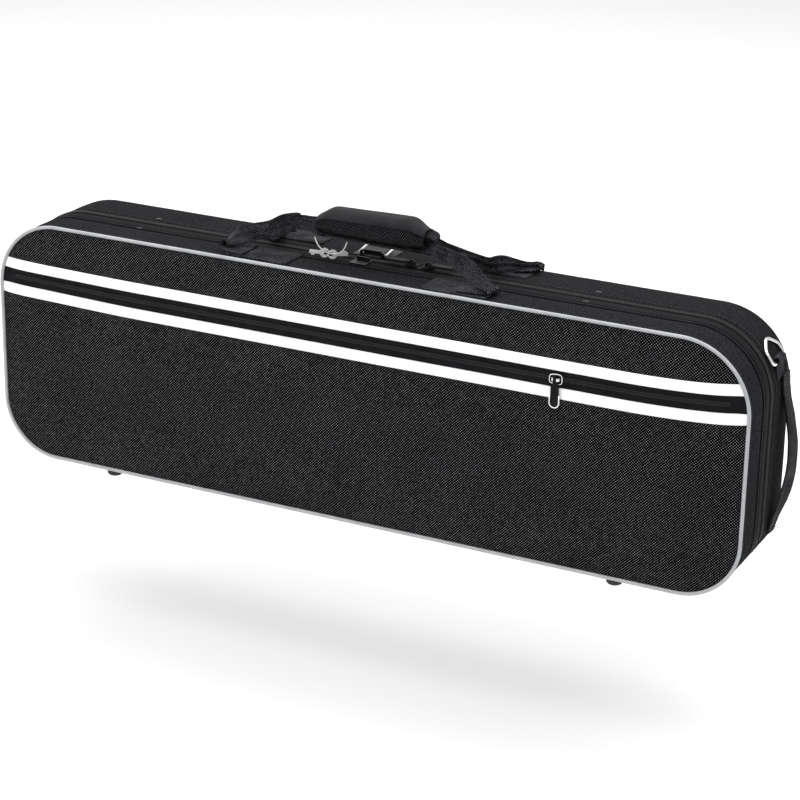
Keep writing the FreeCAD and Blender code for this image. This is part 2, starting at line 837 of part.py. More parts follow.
def make_end_loop():
    """A webbing loop that stands off the right end wall."""
    wall = dim("case_length") / 2
    top, low, reach, thick = dim("loop_top"), dim("loop_low"), dim("loop_reach"), dim("webbing_thick")
    middle = (top + low) / 2
    outer = Part.Arc(V(wall + thick, 0, top), V(wall + reach, 0, middle), V(wall + thick, 0, low))
    inner = Part.Arc(
        V(wall + 0.1, 0, low + thick), V(wall + reach - thick, 0, middle), V(wall + 0.1, 0, top - thick)
    )
    sewn_low, sewn_top = low - dim("loop_sewn_low"), top + dim("loop_sewn_top")
    feet = [V(wall + 0.1, 0, sewn_low), V(wall + thick, 0, sewn_low)]
    heads = [V(wall + 0.1, 0, sewn_top), V(wall + thick, 0, sewn_top)]
    edges = [
        outer.toShape(), Part.LineSegment(V(wall + thick, 0, low), feet[1]).toShape(),
        Part.LineSegment(feet[1], feet[0]).toShape(),
        Part.LineSegment(feet[0], V(wall + 0.1, 0, low + thick)).toShape(), inner.toShape(),
        Part.LineSegment(V(wall + 0.1, 0, top - thick), heads[0]).toShape(),
        Part.LineSegment(heads[0], heads[1]).toShape(),
        Part.LineSegment(heads[1], V(wall + thick, 0, top)).toShape(),
    ]
    face = Part.Face(Part.Wire(edges))
    loop = face.extrude(V(0, dim("loop_width"), 0))
    loop.translate(V(0, dim("loop_y"), 0))
    free_shape("end_loop", loop)


def make_rings():
    """A D-shaped ring on each top corner of the body, and the webbing tab that holds its bar."""
    corner = V(dim("case_length") / 2 - dim("top_radius"), dim("ring_y"),
               dim("case_height") - dim("top_radius"))
    surface = dim("top_radius") + 0.1
    angle, lean = math.radians(dim("ring_angle")), math.radians(dim("ring_lean"))
    out = V(math.cos(angle), 0, math.sin(angle))
    up = V(-math.sin(lean), 0, math.cos(lean))
    bar = corner + out * (surface - 0.1 + dim("ring_stand_off"))
    half, reach = dim("ring_half_width"), dim("ring_reach")
    across = V(0, 1, 0)
    points = [
        bar - across * half, bar + across * half,
        bar + across * half * 0.94 + up * reach * 0.62,
        bar + up * reach * 1.14,
        bar - across * half * 0.94 + up * reach * 0.62,
    ]
    route, _ = rounded_route(points, radii=(4.0, 4.0, 8.0, 11.0, 8.0), closed=True)
    ring = wire_solid(route, dim("ring_wire"))
    width, thick = dim("ring_tab_width"), dim("ring_tab_thick")
    sector = [
        Part.makeCylinder(radius, width, corner - across * (width / 2), across)
        for radius in (surface + thick, surface)
    ]
    low = math.radians(dim("ring_tab_low_angle"))
    below = V(math.cos(low), 0, math.sin(low))
    wedge = Part.makePolygon([corner, corner + below * 120, corner + out * 120, corner])
    wedge = Part.Face(wedge).extrude(across * width)
    wedge.translate(across * (-width / 2))
    tail = sector[0].cut(sector[1]).common(wedge)
    eye = Part.makeCylinder(dim("ring_eye_radius"), width, bar - across * (width / 2), across)
    bore = Part.makeCylinder(dim("ring_eye_bore"), width, bar - across * (width / 2), across)
    tab = tail.fuse(eye).cut(bore).removeSplitter()
    for side, sign in (("right", 1), ("left", -1)):
        for name, shape in (("shoulder_ring", ring), ("ring_tab", tab)):
            shown = shape if sign > 0 else shape.mirror(V(0, 0, 0), V(1, 0, 0))
            free_shape(f"{name}_{side}", shown)


# ---------------------------------------------------------------- lock, zipper sliders, bow holders, keys


def make_lock():
    x, top = size("lock_x"), size("case_height")
    half = size("lock_half_width")
    y0, y1 = size("lock_y_low"), size("lock_y_high")
    plate_top = top + 1.2
    pieces = [
        box("lock_base", (x - half, y0, top), (x + half, y1, plate_top)),
        box("lock_case", (x - 11.0, y0 + 7.5, plate_top - 0.2), (x + 11.0, y1 - 5.5, top + 4.6)),
    ]
    for side in (-1, 1):
        middle = x + size(11.4) * side
        pieces.append(
            box(f"lock_lug_{side + 1}", (middle - 1.4, size("bail_y") - 2.6, plate_top - 0.2),
                (middle + 1.4, size("bail_y") + 2.6, size("bail_z") + 2.4))
        )
    whole = combine("MultiFuse", "lock_solid", pieces)
    bore_start = (x - half, size("bail_y"), size("bail_z"))
    hole = cylinder("lock_bore", size("bail_bore"), half * 2, bore_start, "X")
    sub_part(combine("Cut", "lock_plate", [whole, hole]))

    tilt = math.radians(dim("bail_tilt"))
    hinge = V(dim("lock_x"), dim("bail_y"), dim("bail_z"))
    reach = V(0, math.cos(tilt), math.sin(tilt)) * dim("bail_reach")
    leg, tip = V(dim("bail_half_width"), 0, 0), V(10.2, 0, 0)
    points = [hinge - tip, hinge - leg, hinge - leg + reach, hinge + leg + reach, hinge + leg, hinge + tip]
    route, _ = rounded_route(points, radii=(1.3, 3.0, 3.0, 1.3))
    free_shape("lock_bail", wire_solid(route, dim("bail_wire")))

    post_near, post_far = size("catch_post_y"), size("catch_post_y", "catch_post_thick")
    lip_low, lip_high = top + "catch_lip_low", top + "catch_lip_high"
    half = size("catch_half_width")
    catch = [
        box("catch_base", (x - half, size("catch_y_low"), top), (x + half, size("catch_y_high"), lip_high)),
        box("catch_lip", (x - half, size("catch_y_high") - 2.0, lip_low), (x + half, post_far, lip_high)),
        box("catch_post", (x - half + 2.0, post_near, lip_low), (x + half - 2.0, post_far, top + 5.2)),
    ]
    sub_part(combine("MultiFuse", "lock_catch", catch))


def bar_slider(label, x, y, z, along_face):
    """A zipper slider: a plate with a raised bar that a pull hangs on.

    On the face the plate lies in X and Z with its bar along X; on the top wall it lies in X and Y with
    its bar along Y.
    """
    length, width, plate = size("slider_length") * 0.5, size("slider_width") * 0.5, size("slider_plate")
    rise, bar, post = size(3.9), size("slider_bar_radius"), size(1.2)
    reach = size(4.2)
    if along_face:
        pieces = [
            box(f"{label}_plate", (x - length, y - plate, z - width), (x + length, y, z + width)),
            box(f"{label}_low_post", (x - reach, y - rise - bar, z - post),
                (x - reach + 1.6, y - plate + 0.2, z + post)),
            box(f"{label}_high_post", (x + reach - 1.6, y - rise - bar, z - post),
                (x + reach, y - plate + 0.2, z + post)),
            cylinder(f"{label}_bar", bar, reach * 2, (x - reach, y - rise, z), "X"),
        ]
    else:
        pieces = [
            box(f"{label}_plate", (x - length, y - width, z), (x + length, y + width, z + plate)),
            box(f"{label}_low_post", (x - post, y - reach, z + plate - 0.2),
                (x + post, y - reach + 1.6, z + rise + bar)),
            box(f"{label}_high_post", (x - post, y + reach - 1.6, z + plate - 0.2),
                (x + post, y + reach, z + rise + bar)),
            cylinder(f"{label}_bar", bar, reach * 2, (x, y - reach, z + rise), "Y"),
        ]
    return sub_part(combine("MultiFuse", label, pieces))


def bar_pull(label, at, axis, along):
    """A pull tab with an eye round a slider's bar; along is the way that the tab points."""
    eye, bore, length = dim("pull_eye"), dim("pull_bore"), dim("pull_length")
    half_width, half_thick, neck = dim("pull_width") / 2, dim("pull_thick") / 2, 2.4
    normal = axis.cross(along)

    def slab(start, stop, half):
        corners = [
            at + along * start + axis * half, at + along * stop + axis * half,
            at + along * stop - axis * half, at + along * start - axis * half,
        ]
        face = Part.Face(Part.makePolygon(corners + corners[:1]))
        solid = face.extrude(normal * (2 * half_thick))
        solid.translate(normal * -half_thick)
        return solid

    ring = Part.makeCylinder(eye, 2 * neck, at - axis * neck, axis)
    tip = Part.makeCylinder(
        half_width, 2 * half_thick, at + along * (length - half_width) - normal * half_thick, normal
    )
    blade = slab(7.0, length - half_width, half_width)
    stem = slab(0.0, 7.5, neck)
    hole = Part.makeCylinder(bore, 4 * neck, at - axis * (2 * neck), axis)
    free_shape(label, ring.fuse(stem).fuse(blade).fuse(tip).cut(hole).removeSplitter())


def make_sliders():
    face = size("lid_front", "-pocket_tape_thick", "-pocket_coil_thick") - 0.2
    middle = (size("zip_low") + "zip_high") * 0.5
    bar_slider("pocket_slider", size("pocket_slider_x"), face, middle, True)
    rise = V(0, -3.9, 0)
    at = V(dim("pocket_slider_x"), face.value, middle.value) + rise
    bar_pull("pocket_pull", at, V(1, 0, 0), V(0, 0, -1))
    top = size("case_height", "zip_coil_rise", "split_gap")
    for side, sign in (("left", -1), ("right", 1)):
        x = size(f"{side}_slider_x")
        bar_slider(f"zip_slider_{side}", x, size("split_y"), top, False)
        at = V(x.value, dim("split_y"), top.value + 3.9)
        bar_pull(f"zip_pull_{side}", at, V(0, 1, 0), V(sign, 0, 0))


def make_bow_holders():
    """Turn clips on pivot screws at one end of the lid, and tip sleeves at the other."""
    floor = size("lid_front", "cover", "lid_panel", "lining")
    pivots, sleeves = [], []
    for name, sign in (("upper", 1), ("lower", -1)):
        x, z = size("spinner_x"), MID_HEIGHT + size("spinner_z_offset") * sign
        stem_long, head_thick = size("spinner_stem_long"), size("spinner_head_thick")
        stem = cylinder(f"pivot_stem_{name}", size("pivot_radius"), stem_long, (x, floor, z), "Y")
        head_at = (x, floor + "spinner_head_at", z)
        head = cylinder(f"pivot_head_{name}", size("pivot_head"), head_thick, head_at, "Y")
        foot = cylinder(f"pivot_foot_{name}", size("pivot_foot"), head_thick, (x, floor, z), "Y")
        pivots.append(combine("MultiFuse", f"pivot_{name}", [stem, head, foot]))
        clip = new_body(f"bow_spinner_{name}")
        place(clip, x, floor + "spinner_at", z)
        outline = new_sketch(clip, "XZ_Plane")
        add_rectangle(outline, size("spinner_width"), size("spinner_length"))
        pad(clip, outline, size("spinner_thick"), reverse=True)
        rounding = size("spinner_width") * 0.5 - 0.3
        fillet(clip, rounding, lambda bounds: bounds.YLength > dim("spinner_thick") / 2)
        bore = new_sketch(clip, "XZ_Plane")
        add_circle(bore, size("spinner_bore"))
        pocket(clip, bore, size("spinner_thick"))
        sub_part(clip)
        closed_end, open_end = size("sleeve_left"), size("sleeve_right")
        outer = box(
            f"sleeve_{name}",
            (closed_end, floor, z - "sleeve_half"),
            (open_end, floor + "sleeve_depth", z + "sleeve_half"),
        )
        inner = box(
            f"sleeve_hole_{name}",
            (closed_end + "sleeve_wall", floor + "sleeve_floor", z - "sleeve_half" + "sleeve_wall"),
            (
                open_end + "sleeve_overrun",
                floor + "sleeve_depth" - "sleeve_floor",
                z + "sleeve_half" - "sleeve_wall",
            ),
        )
        sleeves.append(combine("Cut", f"sleeve_solid_{name}", [outer, inner]))
    sub_part(combine("Compound", "spinner_pivots", pivots))
    sub_part(combine("Compound", "bow_tip_sleeves", sleeves))


def make_keys():
    """Two flat keys threaded on a thin string that hangs from the front strap, under the grip."""
    y, z = dim("string_y"), dim("strap_mid_z") - dim("webbing_thick") / 2 - dim("string_gap")
    points = [
        V(-60, y, z), V(-58.5, y, z - 5), V(-54, y, z - 10.5), V(-47.5, y, z - 14),
        V(-39.5, y, z - 14.6), V(-32, y, z - 12), V(-27, y, z - 6.8), V(-25, y, z),
    ]
    route, radii = rounded_route(points)
    string = wire_solid(route, dim("string_radius"))
    section = math.pi * dim("string_radius") ** 2
    print("key string: arc radii", [round(r, 1) for r in radii])
    print("key string: length", round(route.Length, 2))
    print("key string: volume", round(string.Volume, 2))
    print("key string: section x length", round(section * route.Length, 2))
    free_shape("key_string", string)

    thick, bow_radius, eye = dim("key_thick"), dim("key_bow_radius"), dim("key_eye_radius")
    eye_x, half_blade, long = dim("key_eye_x"), dim("key_blade") / 2, dim("key_length")
    middle = V(0, -thick / 2, 0)
    keys = []
    for x, low, tilt in ((-47.5, 13.8, 190.0), (-42.0, 14.4, 3.0)):
        bow = Part.makeCylinder(bow_radius, thick, middle, V(0, 1, 0))
        blade = Part.makeBox(long - 3, thick, 2 * half_blade, V(3, -thick / 2, -half_blade))
        teeth = Part.makeBox(3, thick, 2, V(long - 5, -thick / 2, half_blade - 0.4))
        hole = Part.makeCylinder(eye, thick, V(eye_x, -thick / 2, 0), V(0, 1, 0))
        key = bow.fuse(blade).fuse(teeth).cut(hole).removeSplitter()
        key.rotate(V(eye_x, 0, 0), V(0, 1, 0), tilt)
        key.rotate(V(eye_x, 0, 0), V(0, 0, 1), dim("key_turn"))
        key.translate(V(x - eye_x, y, z - low - dim("key_hang")))
        keys.append(key)
    free_shape("keys", Part.makeCompound(keys))


def check_and_export():
    doc.recompute()
    faults = [obj.Label for obj in doc.Objects if {"Invalid", "Error"} & set(obj.State)]
    faults += [obj.Label for obj in parts if obj.Shape.isNull() or not obj.Shape.isValid()]
    if faults:
        raise RuntimeError(f"these objects failed: {faults}")
    os.makedirs("parts", exist_ok=True)
    for old in os.listdir("parts"):
        os.remove(os.path.join("parts", old))
    for obj in parts:
        obj.Shape.exportStep(f"parts/{obj.Label}.step")
    print(len(parts), "sub-parts written")


make_shells()
make_zipper()
make_piping()
make_pocket()
make_insert()
make_accessory_lid()
make_hinges()
make_feet()
make_handle()
make_end_loop()
make_rings()
make_lock()
make_sliders()
make_bow_holders()
make_keys()
check_and_export()
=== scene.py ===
import math

import bpy
from mathutils import Matrix, Vector, noise


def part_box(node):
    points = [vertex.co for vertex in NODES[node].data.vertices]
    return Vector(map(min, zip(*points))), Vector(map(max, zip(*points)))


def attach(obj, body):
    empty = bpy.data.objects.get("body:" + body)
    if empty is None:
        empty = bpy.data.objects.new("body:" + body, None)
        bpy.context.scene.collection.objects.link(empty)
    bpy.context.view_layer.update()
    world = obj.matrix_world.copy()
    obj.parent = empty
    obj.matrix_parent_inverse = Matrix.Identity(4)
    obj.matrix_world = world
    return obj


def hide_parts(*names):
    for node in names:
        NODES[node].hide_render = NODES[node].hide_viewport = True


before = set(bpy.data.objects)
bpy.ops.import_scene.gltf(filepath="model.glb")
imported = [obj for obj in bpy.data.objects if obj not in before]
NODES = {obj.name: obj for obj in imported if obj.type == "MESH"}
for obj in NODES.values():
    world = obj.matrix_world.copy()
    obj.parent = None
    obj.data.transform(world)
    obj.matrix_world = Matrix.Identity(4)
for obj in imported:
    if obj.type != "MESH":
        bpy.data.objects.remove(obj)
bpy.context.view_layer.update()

scene = bpy.context.scene

# The case's own frame, in millimetres: x = 0 mid-length, y = 0 the plane of the front piping and
# z = 0 the underside of the walls.
COVER_LOW, COVER_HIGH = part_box("body_cover")
HALF_LENGTH, HEIGHT, DEPTH = 400.0, 250.0, 129.0
ORIGIN = Vector((COVER_LOW.x + HALF_LENGTH / 1000, COVER_HIGH.y - DEPTH / 1000, COVER_LOW.z))
TOP_RADIUS, LOW_RADIUS = 69.0, 60.0
RIGHT, BACK, UP = Vector((1, 0, 0)), Vector((0, 1, 0)), Vector((0, 0, 1))


def at(x, y, z):
    """A point of the case's own frame, in the row frame's metres."""
    return ORIGIN + Vector((x, y, z)) / 1000


# ---------------------------------------------------------------- camera, floor and light


CAMERA_TARGET = at(54.2, 0.0, 137.5)
CAMERA_DISTANCE, CAMERA_LENS = 2.373, 112.46
CAMERA_AZIMUTH, CAMERA_ELEVATION, CAMERA_ROLL = (math.radians(a) for a in (26.149, 20.961, 1.026))
FLOOR_DROP = 0.150  # the lid opens downwards past the feet, so the floor lies this far below them
FLOOR_HALF_SIZE = 12.0
FLOOR_COLOUR = (0.78, 0.78, 0.78, 1)
WORLD_STRENGTH = 0.74


def aim(obj, place, target, roll=0.0):
    """Puts a camera or a light at a place, looking at the target."""
    back = (place - target).normalized()
    right = (-back).cross(UP).normalized()
    up = right.cross(-back)
    across = right * math.cos(roll) + up * math.sin(roll)
    above = -right * math.sin(roll) + up * math.cos(roll)
    turn = Matrix((across, above, back)).transposed().to_4x4()
    obj.matrix_world = Matrix.Translation(place) @ turn


def make_camera():
    data = bpy.data.cameras.new("camera")
    data.lens, data.sensor_width = CAMERA_LENS, 36.0
    data.clip_start, data.clip_end = 0.05, 50.0
    obj = bpy.data.objects.new("camera", data)
    scene.collection.objects.link(obj)
    level = math.cos(CAMERA_ELEVATION)
    back = Vector((
        math.sin(CAMERA_AZIMUTH) * level, -math.cos(CAMERA_AZIMUTH) * level, math.sin(CAMERA_ELEVATION),
    ))
    aim(obj, CAMERA_TARGET + back * CAMERA_DISTANCE, CAMERA_TARGET, CAMERA_ROLL)
    scene.camera = obj


def make_light(name, place, target, size, power):
    data = bpy.data.lights.new(name, "AREA")
    data.shape, data.size, data.size_y = "RECTANGLE", size[0], size[1]
    data.energy = power
    obj = bpy.data.objects.new(name, data)
    scene.collection.objects.link(obj)
    aim(obj, Vector(place), Vector(target))


def make_studio():
    scene.view_settings.view_transform = "Standard"
    world = bpy.data.worlds.new("studio")
    scene.world = world
    world.use_nodes = True
    background = world.node_tree.nodes["Background"]
    background.inputs["Color"].default_value = (1, 1, 1, 1)
    background.inputs["Strength"].default_value = WORLD_STRENGTH
    mesh = bpy.data.meshes.new("floor")
    corners = ((-1, -1), (1, -1), (1, 1), (-1, 1))
    mesh.from_pydata(
        [(x * FLOOR_HALF_SIZE, y * FLOOR_HALF_SIZE, -FLOOR_DROP) for x, y in corners], [], [(0, 1, 2, 3)]
    )
    floor = bpy.data.objects.new("floor", mesh)
    scene.collection.objects.link(floor)
    paper = bpy.data.materials.new("floor_paper")
    paper.use_nodes = True
    shader = paper.node_tree.nodes["Principled BSDF"]
    shader.inputs["Base Color"].default_value = FLOOR_COLOUR
    shader.inputs["Roughness"].default_value = 0.9
    mesh.materials.append(paper)
    middle = at(0, 60, 130)
    make_light("top_softbox", (0.1, 0.25, 2.4), middle, (5.0, 4.0), 130.0)
    make_light("front_softbox", (-1.3, -1.9, 1.5), middle, (1.6, 1.6), 16.0)


# ---------------------------------------------------------------- materials


class Finish:
    """A node material round one Principled shader, with short names for the nodes that it needs."""

    def __init__(self, name, **sockets):
        self.material = bpy.data.materials.new(name)
        self.material.use_nodes = True
        self.tree = self.material.node_tree
        self.shader = self.tree.nodes["Principled BSDF"]
        for socket, value in sockets.items():
            self.shader.inputs[socket.replace("_", " ")].default_value = value

    def node(self, kind, **sockets):
        made = self.tree.nodes.new(kind)
        for socket, value in sockets.items():
            self.feed(made.inputs[socket.replace("_", " ")], value)
        return made

    def feed(self, socket, value):
        if isinstance(value, bpy.types.NodeSocket):
            self.tree.links.new(value, socket)
        else:
            socket.default_value = value

    def maths(self, operation, *values):
        made = self.tree.nodes.new("ShaderNodeMath")
        made.operation = operation
        for socket, value in zip(made.inputs, values):
            self.feed(socket, value)
        return made.outputs[0]

    def add(self, a, b):
        return self.maths("ADD", a, b)

    def times(self, a, b):
        return self.maths("MULTIPLY", a, b)

    def uv(self):
        """The two surface coordinates, in millimetres."""
        split = self.node("ShaderNodeSeparateXYZ", Vector=self.node("ShaderNodeUVMap").outputs[0])
        return split.outputs[0], split.outputs[1]

    def speckle(self, scale, detail):
        """Noise between 0 and 1, fixed to the object."""
        made = self.node("ShaderNodeTexNoise", Scale=scale, Detail=detail)
        self.feed(made.inputs["Vector"], self.node("ShaderNodeTexCoord").outputs["Object"])
        return made.outputs["Fac"]

    def uneven(self, scale):
        """The same noise about zero."""
        return self.maths("SUBTRACT", self.speckle(scale, 3.0), 0.5)

    def wave(self, value, period):
        """0 to 1 and back once in each period."""
        turn = self.maths("MULTIPLY", value, 2 * math.pi / period)
        return self.maths("MULTIPLY_ADD", self.maths("SINE", turn), 0.5, 0.5)

    def ramp(self, value, *stops):
        made = self.node("ShaderNodeValToRGB", Fac=value)
        elements = made.color_ramp.elements
        while len(elements) < len(stops):
            elements.new(0.5)
        for element, (position, colour) in zip(elements, stops):
            element.position, element.color = position, (*colour, 1.0)
        return made.outputs["Color"]

    def span(self, value, low, high):
        made = self.node("ShaderNodeMapRange", Value=value)
        made.inputs["To Min"].default_value, made.inputs["To Max"].default_value = low, high
        return made.outputs[0]

    def bump(self, height, distance, strength):
        made = self.node("ShaderNodeBump", Height=height, Strength=strength, Distance=distance)
        self.tree.links.new(made.outputs[0], self.shader.inputs["Normal"])

    def colour(self, value):
        self.feed(self.shader.inputs["Base Color"], value)

    def roughness(self, value):
        self.feed(self.shader.inputs["Roughness"], value)


def oxford(name, dark, light, crowd, period=2.85):
    """Heavy woven polyester with painted highlights: the raised yarns are painted light in the colour,
    between sunken ones painted dark. A high crowd leaves few of them light."""
    f = Finish(name, Specular_IOR_Level=0.01)
    u, v = f.uv()
    drift = f.times(f.uneven(90.0), 1.1)
    falling = f.wave(f.add(f.add(u, v), drift), period)
    rising = f.wave(f.add(f.maths("SUBTRACT", u, v), drift), period)
    yarn = f.add(f.times(rising, 0.64), f.times(falling, 0.36))
    strands = f.wave(f.add(u, f.times(v, 0.35)), 0.42)
    relief = f.add(yarn, f.times(strands, 0.10))
    fine, broad = f.uneven(320.0), f.uneven(16.0)
    shade = f.add(yarn, f.add(f.times(fine, 0.22), f.times(broad, 0.05)))
    # the ramp paints the yarns' highlights into the colour, from the dark sunken yarns to the light raised
    # ones
    half = [low + 0.16 * (high - low) for low, high in zip(dark, light)]
    f.colour(f.ramp(shade, (crowd, dark), (crowd + 0.22, half), (crowd + 0.42, light)))
    f.roughness(f.span(yarn, 0.9, 0.7))
    f.bump(relief, 0.00045, 0.75)
    return f.material


def plain_cloth(name, dark, light, period=0.9, sheen=0.03):
    """Finer, smoother cloth, with a soft mottling and a nearly invisible weave."""
    f = Finish(name, Sheen_Weight=sheen, Sheen_Roughness=0.45, Specular_IOR_Level=0.05)
    u, v = f.uv()
    weave = f.times(f.wave(u, period), f.wave(v, period))
    mottled = f.speckle(45.0, 5.0)
    shade = f.add(f.times(weave, 0.4), f.times(mottled, 0.7))
    f.colour(f.ramp(shade, (0.25, dark), (0.85, light)))
    f.roughness(f.span(mottled, 0.66, 0.86))
    f.bump(f.add(weave, f.times(mottled, 1.4)), 0.00018, 0.6)
    return f.material


def webbing(name, dark, light):
    """Woven strap: fine cross ribs with a herringbone that turns at the middle."""
    f = Finish(name, Sheen_Weight=0.02, Sheen_Roughness=0.35, Specular_IOR_Level=0.06)
    u, v = f.uv()
    slant = f.add(u, f.times(f.maths("PINGPONG", v, 6.0), 0.8))
    rib, cord = f.wave(slant, 2.2), f.wave(v, 1.5)
    relief = f.add(f.times(rib, 0.6), f.times(cord, 0.4))
    worn, fuzz = f.speckle(60.0, 4.0), f.speckle(420.0, 3.0)
    shade = f.add(f.times(relief, 0.40), f.times(f.add(worn, fuzz), 0.40))
    f.colour(f.ramp(shade, (0.50, dark), (0.64, [0.3 * part for part in light]), (0.80, light)))
    f.roughness(f.span(relief, 0.85, 0.65))
    f.bump(f.add(relief, f.times(worn, 1.5)), 0.0006, 0.9)
    return f.material


def satin(name, dark, light, rib=0.8, shine=0.4):
    """Smooth woven edging with fine cross ribs."""
    f = Finish(name, Sheen_Weight=0.15 * shine, Sheen_Roughness=0.3, Specular_IOR_Level=shine)
    ribs, soft = f.wave(f.uv()[0], rib), f.speckle(70.0, 3.0)
    shade = f.add(f.times(ribs, 0.3), f.times(soft, 0.7))
    f.colour(f.ramp(shade, (0.2, dark), (0.8, light)))
    f.roughness(f.span(soft, 0.38, 0.55))
    f.bump(f.add(ribs, soft), 0.00012, 0.5)
    return f.material


def plush(name, dark, light):
    """Short pile: soft clumps of fibre over broader shading where the pile leans."""
    f = Finish(name, Sheen_Weight=0.9, Sheen_Roughness=0.35, Specular_IOR_Level=0.1, Roughness=0.95)
    fibre, lean = f.speckle(900.0, 2.0), f.speckle(22.0, 3.0)
    shade = f.add(f.times(fibre, 0.45), f.times(lean, 0.6))
    f.colour(f.ramp(shade, (0.3, dark), (0.8, light)))
    f.bump(f.add(fibre, f.times(lean, 2.0)), 0.0006, 0.7)
    return f.material


def metal(name, dark, light, rough):
    """Plated metal with faint scuffs."""
    f = Finish(name, Metallic=1.0)
    scuffs, cloud = f.speckle(700.0, 4.0), f.speckle(60.0, 3.0)
    f.colour(f.ramp(cloud, (0.3, dark), (0.7, light)))
    f.roughness(f.span(scuffs, rough * 0.6, rough * 1.9))
    f.bump(scuffs, 0.00002, 0.4)
    return f.material


def enamel(name, dark, light, rough, gloss=0.5):
    """Painted or moulded surface with a slight orange peel, paler where it is rubbed."""
    f = Finish(name, Specular_IOR_Level=gloss)
    peel, wear = f.speckle(500.0, 3.0), f.speckle(80.0, 5.0)
    f.colour(f.ramp(wear, (0.45, dark), (0.75, light)))
    f.roughness(f.span(peel, rough * 0.8, rough * 1.3))
    f.bump(peel, 0.00005, 0.5)
    return f.material


# the light colours of the three oxford cloths are painted highlights on black yarns
CLOTH = oxford("oxford_face", (0.0003, 0.0003, 0.0004), (0.43, 0.425, 0.45), crowd=0.68)
WALL_CLOTH = oxford("oxford_wall", (0.0010, 0.0010, 0.0013), (0.16, 0.16, 0.175), crowd=0.60, period=2.6)
BAND_CLOTH = plain_cloth("band_cloth", (0.0015, 0.0015, 0.002), (0.012, 0.012, 0.015))
BACK_CLOTH = oxford("body_cloth", (0.0012, 0.0012, 0.0015), (0.12, 0.12, 0.13), crowd=0.56, period=2.4)
FLAP_CLOTH = plain_cloth("flap_cloth", (0.008, 0.008, 0.009), (0.030, 0.030, 0.033), period=0.8, sheen=0.08)
TAPE = satin("zip_tape_weave", (0.002, 0.002, 0.0026), (0.012, 0.012, 0.015), rib=1.1, shine=0.05)
COIL = enamel("coil_nylon", (0.003, 0.003, 0.0035), (0.010, 0.010, 0.011), rough=0.45)
PIPING = satin("piping_satin", (0.28, 0.29, 0.30), (0.44, 0.45, 0.46))
LIGHT_TAPE = satin("light_tape_weave", (0.84, 0.84, 0.85), (0.92, 0.92, 0.92), rib=0.9)
WEBBING = webbing("webbing_weave", (0.0006, 0.0006, 0.0009), (0.075, 0.075, 0.085))
THREAD = satin("black_thread", (0.004, 0.004, 0.005), (0.018, 0.018, 0.020), rib=0.5, shine=0.2)
GREY_THREAD = satin("grey_thread", (0.05, 0.05, 0.055), (0.12, 0.12, 0.125), rib=0.5, shine=0.2)
PALE_THREAD = satin("pale_thread", (0.62, 0.61, 0.58), (0.80, 0.79, 0.76), rib=0.4)
PLUSH = plush("plush_pile", (0.012, 0.016, 0.030), (0.050, 0.064, 0.105))
RIBBON = satin("ribbon_weave", (0.010, 0.013, 0.026), (0.035, 0.045, 0.080), rib=0.7)
CHROME = metal("nickel_plate", (0.66, 0.66, 0.67), (0.86, 0.86, 0.86), rough=0.12)
STEEL = metal("steel_satin", (0.42, 0.42, 0.43), (0.62, 0.62, 0.62), rough=0.34)
BLACK_METAL = enamel("black_zinc_enamel", (0.002, 0.002, 0.0022), (0.008, 0.008, 0.0085),
                     rough=0.5, gloss=0.12)
# nickel painted nearly black: painted shade for the lock's plate and catch, which sit in the grip's shadow
NICKEL_PAINTED_SHADE = metal("nickel_painted_shade", (0.008, 0.008, 0.009), (0.03, 0.03, 0.032), rough=0.3)
BRUSHED = metal("brushed_nickel", (0.80, 0.80, 0.81), (0.95, 0.95, 0.95), rough=0.42)
PALE_NICKEL = enamel("pale_satin_nickel", (0.62, 0.62, 0.62), (0.80, 0.80, 0.80), rough=0.35)
RUBBER = enamel("foot_rubber_moulding", (0.010, 0.010, 0.010), (0.024, 0.024, 0.024), rough=0.7)
PLASTIC = enamel("clip_moulding", (0.014, 0.014, 0.016), (0.04, 0.04, 0.043), rough=0.45)
FOAM = enamel("shell_foam_board", (0.20, 0.20, 0.19), (0.34, 0.33, 0.31), rough=0.9)


# ---------------------------------------------------------------- mesh helpers


def piece(name, verts, faces, uvs, material, body, slot, *nodes):
    """A mesh drawn in the case's own frame, with its finish, body and the CAD nodes that it stands for."""
    mesh = bpy.data.meshes.new(name)
    mesh.from_pydata([at(*v) for v in verts], [], faces)
    layer = mesh.uv_layers.new(name="UVMap")
    for loop in mesh.loops:
        layer.data[loop.index].uv = uvs[loop.vertex_index]
    mesh.polygons.foreach_set("use_smooth", [True] * len(mesh.polygons))
    mesh.materials.append(material)
    mesh.update()
    obj = bpy.data.objects.new(name, mesh)
    scene.collection.objects.link(obj)
    return dress(obj, body, slot, *nodes)


def dress(obj, body, slot, *nodes):
    """Puts a piece on the body that it rides on and hides the CAD nodes that it stands for; slot is not
    used.
    """
    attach(obj, body)
    if nodes:
        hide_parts(*nodes)
    return obj


def grid_faces(rows, columns, closed=False, start=0):
    """Faces of rows x columns vertices, stored row by row."""
    faces = []
    last = columns if closed else columns - 1
    for i in range(rows - 1):
        for j in range(last):
            k = (j + 1) % columns
            a, b = start + i * columns, start + (i + 1) * columns
            faces.append((a + j, a + k, b + k, b + j))
    return faces


def tube_faces(rows, columns, start=0):
    """The faces of a tube of rows x columns vertices, and of its two ends."""
    faces = grid_faces(rows, columns, True, start)
    faces.append(tuple(start + k for k in range(columns - 1, -1, -1)))
    faces.append(tuple(start + (rows - 1) * columns + k for k in range(columns)))
    return faces


def lerp(a, b, t):
    return a + (b - a) * t


def smooth_step(value, low, high):
    """0 up to low, 1 from high on, and a smooth rise between them."""
    t = min(1.0, max(0.0, (value - low) / (high - low)))
    return t * t * (3 - 2 * t)


def jitter(x, y, z):
    """Smooth noise between about -1 and 1."""
    return noise.noise(Vector((x, y, z)))


# ---------------------------------------------------------------- the outline and what is swept round it


